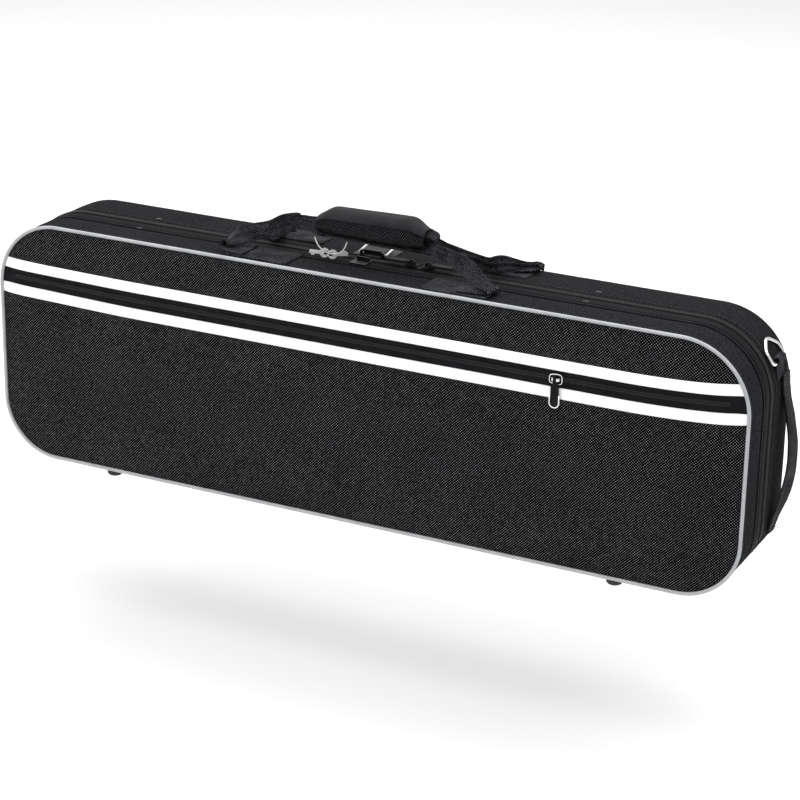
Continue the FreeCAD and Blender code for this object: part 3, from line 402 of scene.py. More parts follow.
def make_rim():
    """The outline's pieces from the middle of the underside, anticlockwise from the front."""
    low_x, top_x = HALF_LENGTH - LOW_RADIUS, HALF_LENGTH - TOP_RADIUS
    top_z = HEIGHT - TOP_RADIUS
    return [
        ("line", (0, 0), (low_x, 0)),
        ("arc", (low_x, LOW_RADIUS), LOW_RADIUS, -90),
        ("line", (HALF_LENGTH, LOW_RADIUS), (HALF_LENGTH, top_z)),
        ("arc", (top_x, top_z), TOP_RADIUS, 0),
        ("line", (top_x, HEIGHT), (-top_x, HEIGHT)),
        ("arc", (-top_x, top_z), TOP_RADIUS, 90),
        ("line", (-HALF_LENGTH, top_z), (-HALF_LENGTH, LOW_RADIUS)),
        ("arc", (-low_x, LOW_RADIUS), LOW_RADIUS, 180),
        ("line", (-low_x, 0), (0, 0)),
    ]


def rim_length(part):
    if part[0] == "line":
        return math.dist(part[1], part[2])
    return math.radians(90) * part[2]


RIM = make_rim()
RIM_LENGTH = sum(rim_length(part) for part in RIM)
TOP_MIDDLE = RIM_LENGTH / 2


def rim(s):
    """(x, z) of the outline and its outward direction, s millimetres along it."""
    s = s % RIM_LENGTH
    for part in RIM:
        length = rim_length(part)
        if s <= length + 1e-6:
            if part[0] == "line":
                (x0, z0), (x1, z1) = part[1], part[2]
                t = s / length
                dx, dz = (x1 - x0) / length, (z1 - z0) / length
                return lerp(x0, x1, t), lerp(z0, z1, t), dz, -dx
            angle = math.radians(part[3]) + s / part[2]
            (x, z), radius = part[1], part[2]
            out = (math.cos(angle), math.sin(angle))
            return x + out[0] * radius, z + out[1] * radius, out[0], out[1]
        s -= length
    return rim(0.0)


def sweep(name, profile, material, body, slot, *nodes, step=6.0, ripple=0.0, closed=False):
    """A profile of (outward offset, y) carried round the outline."""
    count = round(RIM_LENGTH / step)
    across = [0.0]
    for (g0, y0), (g1, y1) in zip(profile, profile[1:]):
        across.append(across[-1] + math.hypot(g1 - g0, y1 - y0))
    verts, uvs = [], []
    for i in range(count + 1):
        s = lerp(0.0, RIM_LENGTH, i / count)
        x, z, nx, nz = rim(s)
        for (grow, y), v in zip(profile, across):
            g = grow + ripple * jitter(s * 0.021, y * 0.07, 3.1)
            g += ripple * 0.4 * jitter(s * 0.09, y * 0.2, 7.7)
            verts.append((x + nx * g, y, z + nz * g))
            uvs.append((s, v + profile[0][1]))
    faces = [face[::-1] for face in grid_faces(count + 1, len(profile), closed)]
    piece(name, verts, faces, uvs, material, body, slot, *nodes)


def reach(z, inset):
    """Half the outline's length at a height, less an inset."""
    if z > HEIGHT - TOP_RADIUS:
        rise = min(z - (HEIGHT - TOP_RADIUS), TOP_RADIUS - inset)
        return HALF_LENGTH - TOP_RADIUS + math.sqrt((TOP_RADIUS - inset) ** 2 - rise ** 2)
    if z < LOW_RADIUS:
        drop = min(LOW_RADIUS - z, LOW_RADIUS - inset)
        return HALF_LENGTH - LOW_RADIUS + math.sqrt((LOW_RADIUS - inset) ** 2 - drop ** 2)
    return HALF_LENGTH - inset


def inside(x, z):
    """How far a point lies inside the outline."""
    x = abs(x)
    for radius, middle, sign in ((TOP_RADIUS, HEIGHT - TOP_RADIUS, 1), (LOW_RADIUS, LOW_RADIUS, -1)):
        dx, dz = x - (HALF_LENGTH - radius), (z - middle) * sign
        if dx > 0 and dz > 0:
            return radius - math.hypot(dx, dz)
    return min(HALF_LENGTH - x, z, HEIGHT - z)


def panel(name, heights, depth, material, body, slot, *nodes, inset=1.0, flip=False, shift=None):
    """A sheet across the outline between its two ends, through the given heights; depth gives its y,
    and shift what is added to a height."""
    columns = 150
    verts, uvs = [], []
    for z in heights:
        for j in range(columns + 1):
            t = 2.0 * j / columns - 1.0
            part = math.copysign(1 - (1 - abs(t)) ** 1.5, t)
            height = z + shift(part * reach(z, inset), z) if shift else z
            x = part * reach(height, inset)
            verts.append((x, depth(x, height), height))
            uvs.append((x, height))
    faces = grid_faces(len(heights), columns + 1)
    if flip:
        faces = [face[::-1] for face in faces]
    piece(name, verts, faces, uvs, material, body, slot, *nodes)


def steps(low, high, gap):
    """Numbers from low to high, about a gap apart."""
    count = max(1, round((high - low) / gap))
    return [lerp(low, high, i / count) for i in range(count + 1)]


def grains(name, places, size, material, body, slot, *nodes, sides=6):
    """Many small rounded grains, such as zipper teeth or stitches; places are (centre, along, up)."""
    length, width, height = size
    verts, faces, uvs = [], [], []
    rings = ((-0.5, 0.5), (-0.3, 1.0), (0.3, 1.0), (0.5, 0.5))
    for centre, along, up in places:
        along, up = along.normalized(), up.normalized()
        side = along.cross(up)
        base = len(verts)
        for t, scale in rings:
            for k in range(sides):
                turn = 2 * math.pi * (k + 0.5) / sides
                point = centre + along * (t * length)
                point = point + side * (math.cos(turn) * width / 2 * scale)
                point = point + up * (math.sin(turn) * height / 2 * scale)
                verts.append(tuple(point))
                uvs.append((t * length, turn * width / 2))
        faces += tube_faces(len(rings), sides, base)
    piece(name, verts, faces, uvs, material, body, slot, *nodes)


def rim_places(y, grow, pitch, start, stop, across=False):
    """Places for grains along the outline, between two lengths along it."""
    places = []
    for i in range(int((stop - start) / pitch)):
        x, z, nx, nz = rim(start + (i + 0.5) * pitch)
        along = BACK if across else Vector((-nz, 0, nx))
        places.append((Vector((x + nx * grow, y, z + nz * grow)), along, Vector((nx, 0, nz))))
    return places


def rim_stitches(name, y, grow, body):
    """One row of stitches round the outline."""
    places = rim_places(y, grow, 4.2, 0.0, RIM_LENGTH)
    grains(name, places, (3.1, 0.7, 0.5), THREAD, body, "oxford_cloth", sides=4)


def curve_points(controls, per_run):
    """A smooth curve through control rows of equal length, each a tuple of numbers."""
    rows = []
    count = len(controls)
    for i in range(count - 1):
        p0, p1 = controls[max(i - 1, 0)], controls[i]
        p2, p3 = controls[i + 1], controls[min(i + 2, count - 1)]
        for k in range(per_run):
            t = k / per_run
            rows.append(tuple(
                0.5 * (2 * b + (c - a) * t + (2 * a - 5 * b + 4 * c - d) * t * t
                       + (3 * b - a - 3 * c + d) * t ** 3)
                for a, b, c, d in zip(p0, p1, p2, p3)
            ))
    rows.append(tuple(controls[-1]))
    return rows


def strap(name, controls, thick, material, body, slot, *nodes, per_run=8, wave=0.0, cells=10, pleat=0.0):
    """Webbing through rows of (x, y, z, direction across x, y, z, width), with rounded edges."""
    rows = curve_points(controls, per_run)
    verts, uvs = [], []
    run = 0.0
    loop = [(-1.0, 0.0), (-0.985, 0.38), (-0.94, 0.5)]
    loop += [(lerp(-0.86, 0.86, k / cells), 0.5) for k in range(cells + 1)]
    loop += [(0.94, 0.5), (0.985, 0.38), (1.0, 0.0)]
    loop += [(a, -b) for a, b in loop[-2:0:-1]]
    for i, row in enumerate(rows):
        here = Vector(row[:3])
        before = Vector(rows[max(i - 1, 0)][:3])
        after = Vector(rows[min(i + 1, len(rows) - 1)][:3])
        run += (here - before).length
        along = (after - before).normalized()
        across = Vector(row[3:6]).normalized()
        across = (across - along * across.dot(along)).normalized()
        up = across.cross(along).normalized()
        half = row[6] / 2
        for a, b in loop:
            crease = jitter(run * 0.05, a * 1.3, 2.0) + 0.5 * jitter(run * 0.21, a * 2.9, 5.0)
            lift = b * thick + wave * crease
            lift += pleat * math.sin(a * 8.0 + 2.5 * jitter(run * 0.04, 1.0, 3.0))
            verts.append(tuple(here + across * (a * half) + up * lift))
            uvs.append((run, a * half))
    piece(name, verts, tube_faces(len(rows), len(loop)), uvs, material, body, slot, *nodes)


def stitch_line(points, up):
    """Places for stitches along the straight runs between points of a flat wall; up leaves the wall."""
    pitch = 3.4
    places = []
    for a, b in zip(points, points[1:]):
        a, b = Vector(a), Vector(b)
        count = max(1, int((b - a).length / pitch))
        for i in range(count):
            places.append((a.lerp(b, (i + 0.5) / count), b - a, up))
    return places


def web(name, rows, thick, body, *nodes, **how):
    """A strap of black webbing."""
    strap(name, rows, thick, WEBBING, body, "webbing", *nodes, **how)


def sew(name, places, body):
    """Black stitches on the webbing."""
    grains(name, places, (2.6, 0.8, 0.6), THREAD, body, "webbing", sides=4)


def box_stitch(x0, x1, y0, y1):
    """A sewn rectangle with a cross in it, on a strap's patch on the top wall."""
    z = 252.75
    a, b, c, d = (x0, y0, z), (x1, y0, z), (x1, y1, z), (x0, y1, z)
    return stitch_line([a, b, c, d, a], UP) + stitch_line([a, c], UP) + stitch_line([d, b], UP)


def polish(node, material, bevel):
    """A CAD node keeps its shape, with a finish and slightly eased edges."""
    obj = NODES[node]
    obj.data.materials.clear()
    obj.data.materials.append(material)
    obj.data.polygons.foreach_set("use_smooth", [True] * len(obj.data.polygons))
    if bevel:
        ease = obj.modifiers.new("eased_edges", "BEVEL")
        ease.width, ease.segments, ease.limit_method = bevel / 1000, 2, "ANGLE"
        ease.angle_limit = math.radians(40)
    shade = obj.modifiers.new("shading", "WEIGHTED_NORMAL")
    shade.keep_sharp = True
    split = obj.modifiers.new("sharp_edges", "EDGE_SPLIT")
    split.split_angle = math.radians(38)


def soften(name, node, voxel, rounds, pile, body):
    """A plush pad from its CAD solid: remeshed, its edges rounded, and its surface left uneven."""
    source = NODES[node]
    obj = bpy.data.objects.new(name, source.data.copy())
    scene.collection.objects.link(obj)
    remesh = obj.modifiers.new("remesh", "REMESH")
    remesh.mode, remesh.voxel_size = "VOXEL", voxel / 1000
    rounder = obj.modifiers.new("round", "SMOOTH")
    rounder.factor, rounder.iterations = 0.5, rounds
    shaped = bpy.data.meshes.new_from_object(
        obj.evaluated_get(bpy.context.evaluated_depsgraph_get())
    )
    obj.modifiers.clear()
    obj.data = shaped
    normals = [v.normal.copy() for v in shaped.vertices]
    for v, normal in zip(shaped.vertices, normals):
        lift = noise.noise(v.co * 38.0) + 0.5 * noise.noise(v.co * 120.0)
        v.co += normal * (pile / 1000) * (lift - 0.4)
    shaped.polygons.foreach_set("use_smooth", [True] * len(shaped.polygons))
    shaped.materials.clear()
    shaped.materials.append(PLUSH)
    dress(obj, body, "plush", node)


def inflate(obj, pinned, pressure, cap):
    """Cloth under a little pressure, its pinned points held; no point moves further than cap, in mm."""
    frames = 18
    group = obj.vertex_groups.new(name="held")
    group.add(pinned, 1.0, "REPLACE")
    rest = [v.co.copy() for v in obj.data.vertices]
    cloth = obj.modifiers.new("cloth", "CLOTH")
    how = cloth.settings
    how.quality, how.mass = 6, 0.25
    how.tension_stiffness = how.compression_stiffness = 12.0
    how.shear_stiffness, how.bending_stiffness = 4.0, 0.4
    how.use_pressure, how.uniform_pressure_force = True, pressure
    how.effector_weights.gravity = 0.0
    how.vertex_group_mass = "held"
    cloth.point_cache.frame_start, cloth.point_cache.frame_end = 1, frames
    for number in range(1, frames + 1):
        scene.frame_set(number)
    result = obj.evaluated_get(bpy.context.evaluated_depsgraph_get()).to_mesh()
    moved = [v.co.copy() for v in result.vertices]
    obj.modifiers.remove(cloth)
    obj.vertex_groups.remove(group)
    scene.frame_set(1)
    for vertex, before, after in zip(obj.data.vertices, rest, moved):
        shift = after - before
        if shift.length > cap / 1000:
            shift = shift.normalized() * (cap / 1000)
        vertex.co = before + shift
    obj.data.update()


# ---------------------------------------------------------------- the cord comes first


def make_key_string():
    y, z = 40.0, 271.2
    points = [
        (-60, y, z), (-58.5, y, z - 5), (-54, y, z - 10.5), (-47.5, y, z - 14),
        (-39.5, y, z - 14.6), (-32, y, z - 12), (-27, y, z - 6.8), (-25, y, z),
    ]
    data = bpy.data.curves.new("key_loop_thread", "CURVE")
    data.dimensions = "3D"
    spline = data.splines.new("NURBS")
    spline.points.add(len(points) - 1)
    for point, place in zip(spline.points, points):
        point.co = (*at(*place), 1.0)
    spline.order_u = 3
    spline.use_endpoint_u = True
    spline.resolution_u = 12
    data.bevel_depth, data.bevel_resolution = 0.0006, 4
    data.use_fill_caps = True
    data.materials.append(PALE_THREAD)
    obj = bpy.data.objects.new("key_loop_thread", data)
    scene.collection.objects.link(obj)
    dress(obj, "lid", "string", "key_string")
    polish("keys", PALE_NICKEL, 0.25)


# ---------------------------------------------------------------- walls, face and zipper


ZIP_START = HALF_LENGTH - LOW_RADIUS + math.radians(90) * LOW_RADIUS * 0.82  # in each lower corner


def make_lid_walls():
    """A crowned gusset behind the piping, the band of the zipper and its tape, with grooves between."""
    crown = [(0.1 + 0.55 * math.sin(math.pi * t), lerp(4.2, 34.0, t))
             for t in (0, 0.15, 0.35, 0.5, 0.65, 0.85, 1)]
    sweep("lid_gusset", [(-1.4, 2.6), (-0.5, 2.9)] + crown + [(-0.3, 35.0), (-1.5, 35.8)],
          WALL_CLOTH, "lid", "oxford_cloth", "lid_cover", ripple=0.35)
    band = [(-1.5, 36.0), (-0.2, 36.7), (0.6, 37.6), (0.6, 39.4), (-0.5, 40.1), (0.5, 40.8), (0.6, 44.0),
            (0.6, 50.6), (0.6, 51.7), (0.45, 52.25), (-0.1, 52.55), (-0.7, 52.6)]
    sweep("lid_zip_binding", band, BAND_CLOTH, "lid", "zip_tape", "lid_zip_tape", ripple=0.2)
    tape = [(-1.4, 52.6), (-1.3, 53.8), (-0.2, 54.8), (0.0, 55.4), (0.0, 57.3), (-0.4, 57.75), (-1.6, 57.8)]
    sweep("lid_tape", tape, TAPE, "lid", "zip_tape", ripple=0.05)
    rim_stitches("lid_seam_stitches", 38.4, 0.5, "lid")
    rim_stitches("lid_edge_stitches", 51.6, 0.5, "lid")


def make_body_walls():
    """The zipper's tape and band, the wall with its rounded back edge, and the back."""
    tape = [(-1.6, 58.2), (-0.4, 58.25), (0.0, 58.7), (0.0, 60.6), (-0.3, 61.2), (-1.4, 62.2), (-1.4, 62.8)]
    sweep("body_tape", tape, TAPE, "body", "zip_tape", "body_zip_tape", ripple=0.05)
    edge = [(-1.4, 62.7), (-0.5, 62.8), (0.3, 63.2), (0.6, 63.8), (0.6, 65.4), (0.1, 66.0),
            (-1.3, 66.4), (-1.4, 67.0), (-0.2, 67.6)]
    sweep("body_zip_binding", edge, BAND_CLOTH, "body", "zip_tape", ripple=0.12)
    wall = [(-0.2, 67.6), (0.3, 68.2), (0.45, 69.0)]
    wall += [(0.45 + 0.3 * math.sin(math.pi * t), lerp(70.0, 104.0, t)) for t in (0, .2, .4, .6, .8, 1)]
    for degrees in range(0, 91, 9):
        turn = math.radians(degrees)
        wall.append((-22 + 22.2 * math.cos(turn), 107 + 22 * math.sin(turn)))
    wall += [(-24.0, 129.0), (-25.2, 128.4)]
    sweep("body_wall_cloth", wall, BACK_CLOTH, "body", "oxford_cloth", "body_cover", ripple=0.3)
    rim_stitches("body_edge_stitches", 70.2, 0.75, "body")

    def back(x, z):
        depth = inside(x, z)
        rise = 0.5 * smooth_step(depth, 25, 29) + 0.7 * smooth_step(depth, 25.0, 70.0)
        return 128.4 + rise + 0.25 * jitter(x * 0.02, z * 0.02, 9)

    heights = [25.2] + steps(27.0, 223.0, 6.0) + [224.8]
    panel("back_panel_cloth", heights, back, CLOTH, "body", "oxford_cloth", inset=25.2, flip=True)


def make_zipper():
    """The two rows of the coil; the body's teeth lie half a pitch on from the lid's."""
    for body, y, offset in (("lid", 56.35, 0.0), ("body", 59.65, 1.0)):
        places = rim_places(y, 0.75, 2.0, ZIP_START + offset, RIM_LENGTH - ZIP_START, across=True)
        grains(f"{body}_zip_teeth", places, (2.5, 1.45, 1.7), COIL, body, "zip_coil", f"{body}_zip_coil")


def make_bar_tacks():
    """Short rows of doubled thread where the seams are closed."""
    for name, body, spots in (
        ("lid_bar_tacks", "lid", ((TOP_MIDDLE + 257, 37.4), (TOP_MIDDLE - 221, 45.0))),
        ("body_bar_tacks", "body", ((TOP_MIDDLE + 257, 74.0), (TOP_MIDDLE - 221, 76.0))),
    ):
        places = []
        for s, y in spots:
            for k in range(7):
                x, z, nx, nz = rim(s + (k - 3) * 0.75)
                spot = Vector((x + nx * 0.9, y, z + nz * 0.9))
                places.append((spot, Vector((0.25, 1, 0)), Vector((nx, 0, nz))))
        grains(name, places, (3.0, 0.7, 0.6), GREY_THREAD, body, "string", sides=4)


FACE_ZIP_Z = 189.5  # the middle of the pocket's zipper


def face_depth(x, z):
    """The front's padded surface: full in the middle, drawn back to the piping, faintly puckered."""
    d = inside(x, z)
    full = 1 - (1 - min(max(d, 0.0) / 42.0, 1.0)) ** 2.3
    pucker = 0.35 * jitter(x * 0.06, z * 0.06, 4.0) * (1 - smooth_step(d, 4, 30))
    sag = 0.3 * jitter(x * 0.012, z * 0.02, 1.0)
    belly = 1.6 * smooth_step(165 - z, 0, 60) * smooth_step(z, 15, 90) * full
    return 1.3 - 5.4 * full - belly + pucker + sag * full


def bow(x, z):
    """How far the sewn strips rise towards the two ends."""
    near = smooth_step(z, 110.0, 178.0) * (1 - smooth_step(z, 204.0, 244.0))
    left = 2.8 * smooth_step(-x, 230.0, 400.0) * (1 - 0.28 * smooth_step(z, 182.0, 206.0))
    right = 7.0 * (max(x - 275.0, 0.0) / 125.0) ** 2
    return near * (left + right)


def tape_depth(x, z):
    """The zipper's tapes lie a little behind the panels."""
    return face_depth(x, z) + 1.9 * smooth_step(inside(x, z), 2, 14)


def make_face():
    """The pocket's two panels, the two light strips beside its zipper, and the zipper."""
    def strip(x, z):
        return face_depth(x, z) - 0.7 * smooth_step(inside(x, z), 0.5, 4.0)

    lower = [1.6, 2.6] + steps(4.0, 170.0, 3.6) + [171.6]
    upper = [208.4] + steps(210.0, 246.0, 3.0) + [247.6, 248.6]
    panel("pocket_lower_cloth", lower, face_depth, CLOTH, "lid", "oxford_cloth", "pocket_lower_panel",
          shift=bow)
    panel("pocket_upper_cloth", upper, face_depth, CLOTH, "lid", "oxford_cloth", "pocket_upper_panel",
          shift=bow)
    for name, low, high, edge, cad in (
        ("light_strip_lower", 170.4, 180.8, "high", "pocket_lower_strip"),
        ("light_strip_upper", 197.5, 208.5, "low", "pocket_upper_strip"),
    ):
        def turned(x, height, low=low, high=high, edge=edge):
            z = height - bow(x, height)
            seam = min(z - low, high - z)
            at_zip = (high - z) if edge == "high" else (z - low)
            back = 1.7 * (1 - smooth_step(at_zip, -0.02, 0.45)) * smooth_step(inside(x, z), 2, 14)
            return strip(x, height) + 0.5 * (1 - smooth_step(seam, 0.0, 0.5)) + back

        heights = [low, low + 0.15, low + 0.35, low + 0.8] + steps(low + 2.4, high - 2.4, 2.0)
        heights += [high - 0.8, high - 0.35, high - 0.15, high]
        panel(name, heights, turned, LIGHT_TAPE, "lid", "light_tape", cad, shift=bow)
        for tag, z in (("low", low + 1.5), ("high", high - 1.5)):
            half = reach(z, 8.0)
            places = []
            for k in range(int(2 * half / 5.0)):
                x = -half + 5.0 * (k + 0.5)
                spot = Vector((x, strip(x, z) - 0.12, z + bow(x, z)))
                places.append((spot, RIGHT, -BACK))
            grains(f"{name}_{tag}_stitches", places, (2.0, 0.4, 0.3), LIGHT_TAPE, "lid", "light_tape",
                   sides=4)
    heights = steps(180.6, 197.7, 1.0)

    def ribbed(x, z):
        near = abs(z - bow(x, z) - FACE_ZIP_Z)
        return tape_depth(x, z) + 0.35 * smooth_step(near, 2.2, 3.4) - 0.5 * smooth_step(near, 4.6, 5.6)

    panel("pocket_zip_tapes", heights, ribbed, TAPE, "lid", "zip_tape", "pocket_zip_tape", shift=bow)
    places = []
    for row, z in enumerate((FACE_ZIP_Z - 1.15, FACE_ZIP_Z + 1.15)):
        for k in range(int(764 / 1.7)):
            x = -382 + 1.7 * (k + 0.5 * row + 0.5)
            spot = Vector((x, tape_depth(x, z) - 0.35, z + bow(x, z)))
            places.append((spot, UP, -BACK))
    grains("pocket_zip_teeth", places, (2.2, 1.2, 1.2), COIL, "lid", "zip_coil", "pocket_zip_coil")


def make_piping():
    radius = 1.75
    profile = []
    for k in range(14):
        turn = 2 * math.pi * k / 14
        profile.append((-0.7 + radius * math.cos(turn), radius * math.sin(turn)))
    sweep("front_piping_tube", profile, PIPING, "lid", "piping_cloth", "front_piping", step=5.0,
          ripple=0.12, closed=True)
    rim_stitches("piping_stitches", 4.6, 0.25, "lid")


# ---------------------------------------------------------------- handle


GRIP_Y, GRIP_Z = 46.0, 288.4


def grip_point(x, turn, swell=1.0):
    """A point of the padded grip: rounded, taller to the right, drawn in at both ends."""
    end = smooth_step(abs(x), 40.0, 59.0)
    c, s = math.cos(turn), math.sin(turn)
    half_y = 14.6 * (1 - 0.26 * end)
    half_z = lerp(11.4, 13.0, smooth_step(x, -50, 40)) * (1 - 0.40 * end)
    y = math.copysign(abs(c) ** 0.8, c) * half_y * swell
    z = math.copysign(abs(s) ** 0.8, s) * half_z * swell
    return x, GRIP_Y + y, GRIP_Z - 3.6 * end + z


def make_grip():
    """A padded wrap with soft, gathered ends, and the flap that closes over it."""
    rings, sides = 61, 44
    verts, uvs = [], []
    for i in range(rings):
        x = lerp(-59.0, 58.0, i / (rings - 1))
        end = smooth_step(abs(x), 36.0, 58.0)
        for j in range(sides):
            turn = 2 * math.pi * j / sides
            gather = end * 0.07 * math.sin(turn * 8 + 1.3 + x * 0.05)
            slack = 0.02 * jitter(x * 0.10, turn * 2, 5) + 0.012 * jitter(x * 0.3, turn * 4, 8)
            verts.append(grip_point(x, turn, 1 + gather + slack))
            uvs.append((x, turn * 13.5))
    faces = [face[::-1] for face in grid_faces(rings, sides, True)]
    first, last = len(verts), len(verts) + 1
    verts += [(-56.0, GRIP_Y, GRIP_Z - 3.6), (55.0, GRIP_Y, GRIP_Z - 3.6)]
    uvs += [(-59, 0), (59, 0)]
    top = (rings - 1) * sides
    for j in range(sides):
        k = (j + 1) % sides
        faces.append((first, k, j)[::-1])
        faces.append((last, top + j, top + k)[::-1])
    grip = piece("grip_wrap", verts, faces, uvs, WALL_CLOTH, "body", "oxford_cloth", "handle_grip")
    held = [*range(sides), *range(top, top + sides), first, last]
    inflate(grip, held, 2.0, 1.2)
    smoother = grip.modifiers.new("smoother", "SUBSURF")
    smoother.levels = smoother.render_levels = 1

    rows, cols = 41, 31
    verts, uvs = [], []
    for i in range(rows):
        x = lerp(-56.0, 60.0, i / (rows - 1))
        for j in range(cols):
            degrees = lerp(-20.0, 158.0, j / (cols - 1))
            stiff = smooth_step(x, 38, 60) * smooth_step(degrees, 60, 130)
            swell = 1.10 + 0.012 * jitter(x * 0.05, degrees * 0.03, 2.2) + 0.10 * stiff
            px, y, z = grip_point(x * (1 - 0.04 * stiff), math.radians(degrees), swell)
            verts.append((px + 2.0 * stiff, y, z + 1.2 * stiff))
            uvs.append((x, math.radians(degrees) * 15))
    faces = [face[::-1] for face in grid_faces(rows, cols)]
    flap = piece("grip_flap", verts, faces, uvs, FLAP_CLOTH, "body", "oxford_cloth")
    thicken = flap.modifiers.new("thickness", "SOLIDIFY")
    thicken.thickness, thicken.offset = 0.0011, -1.0
    smoother = flap.modifiers.new("smoother", "SUBSURF")
    smoother.levels = smoother.render_levels = 1


def strap_patches(name, body, y, rows):
    """Webbing sewn flat to the wall on both sides of the grip; rows are (x, z) of the right one."""
    for side, tag in ((-1, "left"), (1, "right")):
        patch = [(side * x, y, z, 0, side, 0, 36.0) for x, z in rows]
        web(f"{name}_patch_{tag}", patch, 2.2, body, wave=0.3)


def make_front_strap():
    """Sewn to the lid's wall on both sides of the grip, and run under it."""
    strap_patches("front_strap", "lid", 20.5,
                  ((72.0, 251.5), (100.0, 251.4), (122.0, 251.5), (138.0, 251.7)))
    stitches = []
    for side in (-1, 1):
        stitches += box_stitch(side * 76.0, side * 112.0, 6.0, 35.0)
        stitches += stitch_line([(side * 74.0, 4.0, 252.7), (side * 74.0, 37.0, 252.7)], UP)
    right = [
        (108.0, 20.5, 253.8, 0, 1, 0, 33.0),
        (126.0, 20.0, 254.0, 0.05, 1, 0, 31.0),
        (136.0, 16.0, 254.7, 0.2, 1, 0, 24.0),
        (141.0, 12.5, 256.4, 0.3, 0.95, 0, 16.0),
        (139.0, 11.5, 258.8, 0.33, 0.90, 0.18, 13.0),
        (132.5, 13.8, 260.8, 0.42, 0.78, 0.42, 13.0),
        (122.6, 18.0, 264.6, 0.55, 0.53, 0.65, 15.4),
        (111.8, 22.0, 270.1, 0.65, 0.23, 0.72, 17.1),
        (101.1, 26.0, 274.4, 0.66, 0.12, 0.75, 16.8),
        (91.0, 31.0, 275.6, 0.47, 0, 0.88, 14.6),
        (77.2, 38.0, 276.2, 0.25, 0.1, 0.97, 12.2),
        (65.0, 44.0, 277.0, 0.14, 0.4, 0.95, 12.4),
        (56.0, 45.5, 275.2, 0, 1, 0.25, 15.0),
    ]
    run = [(x, 46.0, z, 0, 1, 0, 17.0) for x, z in ((36, 273.5), (5, 273.9), (-25, 274.6), (-44, 275.0))]
    left = [
        (-56.0, 45.8, 276.2, 0, 1, 0.25, 15.0),
        (-64.0, 45.0, 279.8, 0, 0.35, 1, 11.4),
        (-76.6, 44.0, 280.9, 0, 0.1, 1, 11.0),
        (-79.6, 42.6, 281.6, 0, 0, 1, 14.0),
        (-81.0, 41.6, 282.3, 0, 0, 1, 18.8),
        (-82.6, 40.6, 282.4, 0, 0, 1, 19.4),
        (-91.0, 37.0, 280.4, -0.06, 0, 1, 19.6),
        (-101.8, 31.5, 275.4, -0.10, 0.06, 0.99, 17.5),
        (-116.4, 27.0, 271.6, -0.22, 0.13, 0.97, 17.0),
        (-128.7, 24.0, 267.8, -0.52, 0.52, 0.68, 19.0),
        (-136.5, 23.5, 264.2, -0.6, 0.75, 0.25, 23.0),
        (-143.5, 22.5, 260.2, -0.5, 0.85, 0.05, 28.0),
        (-145.5, 21.5, 257.0, -0.45, 0.9, 0, 31.0),
        (-138.0, 20.5, 254.8, -0.2, 1, 0, 32.0),
        (-120.0, 20.5, 253.9, 0, 1, 0, 33.0),
    ]
    web("front_strap_run", right + run + left, 1.9, "lid", "handle_strap_front", wave=0.9, per_run=7,
        cells=18, pleat=0.4)
    sew("front_strap_stitches", stitches, "lid")


def make_rear_strap():
    """Sewn to the body's wall, and run into both ends of the grip."""
    strap_patches("rear_strap", "body", 95.0,
                  ((72.0, 251.5), (100.0, 251.4), (130.0, 251.5), (147.0, 251.6)))
    stitches = []
    for side in (-1, 1):
        stitches += box_stitch(side * 76.0, side * 112.0, 81.0, 109.0)
    right = [
        (128.0, 99.0, 253.8, 0, 1, 0, 32.0),
        (143.0, 102.0, 254.2, 0.2, 1, 0, 26.0),
        (148.5, 104.5, 255.2, 0.3, 1, 0.1, 15.0),
        (144.0, 103.5, 256.4, 0.1, 0.6, 0.8, 8.0),
        (137.0, 96.5, 257.4, 0, 0.2, 1, 8.5),
        (128.2, 86.0, 260.0, 0, 0, 1, 13.5),
        (121.2, 75.0, 262.2, -0.09, 0, 1, 18.1),
        (112.0, 66.5, 262.0, -0.03, 0.05, 1, 16.3),
        (100.9, 60.5, 267.0, 0.05, 0.1, 1, 13.6),
        (88.6, 56.5, 271.0, 0.13, 0.1, 0.99, 13.4),
        (75.3, 53.0, 275.6, 0.15, 0.1, 0.99, 12.6),
        (64.5, 50.5, 281.2, 0.16, 0.1, 0.99, 11.4),
        (55.0, 47.5, 284.8, 0.2, 0.3, 0.95, 11.0),
    ]
    web("rear_strap_right", right, 2.0, "body", "handle_strap_rear", wave=0.9, per_run=7, cells=18,
        pleat=0.55)
    left = [
        (-56.0, 48.0, 284.0, 0, 0.5, 1, 11.0),
        (-68.0, 48.0, 283.0, 0, 0.3, 1, 11.0),
        (-80.0, 47.5, 282.0, 0, 0.2, 1, 12.0),
        (-91.0, 46.5, 277.0, 0, 0.2, 1, 10.0),
        (-101.0, 50.0, 267.5, 0, 0.6, 0.8, 11.0),
        (-111.0, 60.0, 259.5, 0, 1, 0.3, 15.0),
        (-124.0, 80.0, 256.2, 0, 1, 0, 21.0),
        (-136.0, 92.0, 256.6, 0, 1, 0, 28.0),
        (-143.0, 95.0, 256.4, 0, 1, 0, 31.0),
        (-146.5, 95.0, 255.4, 0, 1, 0, 32.0),
        (-143.0, 95.0, 254.4, 0, 1, 0, 33.0),
        (-124.0, 95.0, 253.8, 0, 1, 0, 33.0),
    ]
    web("rear_strap_left", left, 2.0, "body", wave=0.7, per_run=7, cells=18, pleat=0.5)
    lump = [
        (50.0, 46.5, 288.0, 0, 0.9, 0.4, 11.0),
        (56.0, 47.5, 289.6, 0, 0.9, 0.4, 11.5),
        (61.0, 48.5, 289.4, 0, 0.9, 0.4, 11.5),
        (65.0, 49.5, 287.2, 0, 0.9, 0.4, 11.0),
        (65.5, 50.0, 283.8, 0, 0.9, 0.4, 10.0),
    ]
    web("grip_end_fold", lump, 2.0, "body", wave=0.3)
    sew("rear_strap_stitches", stitches, "body")


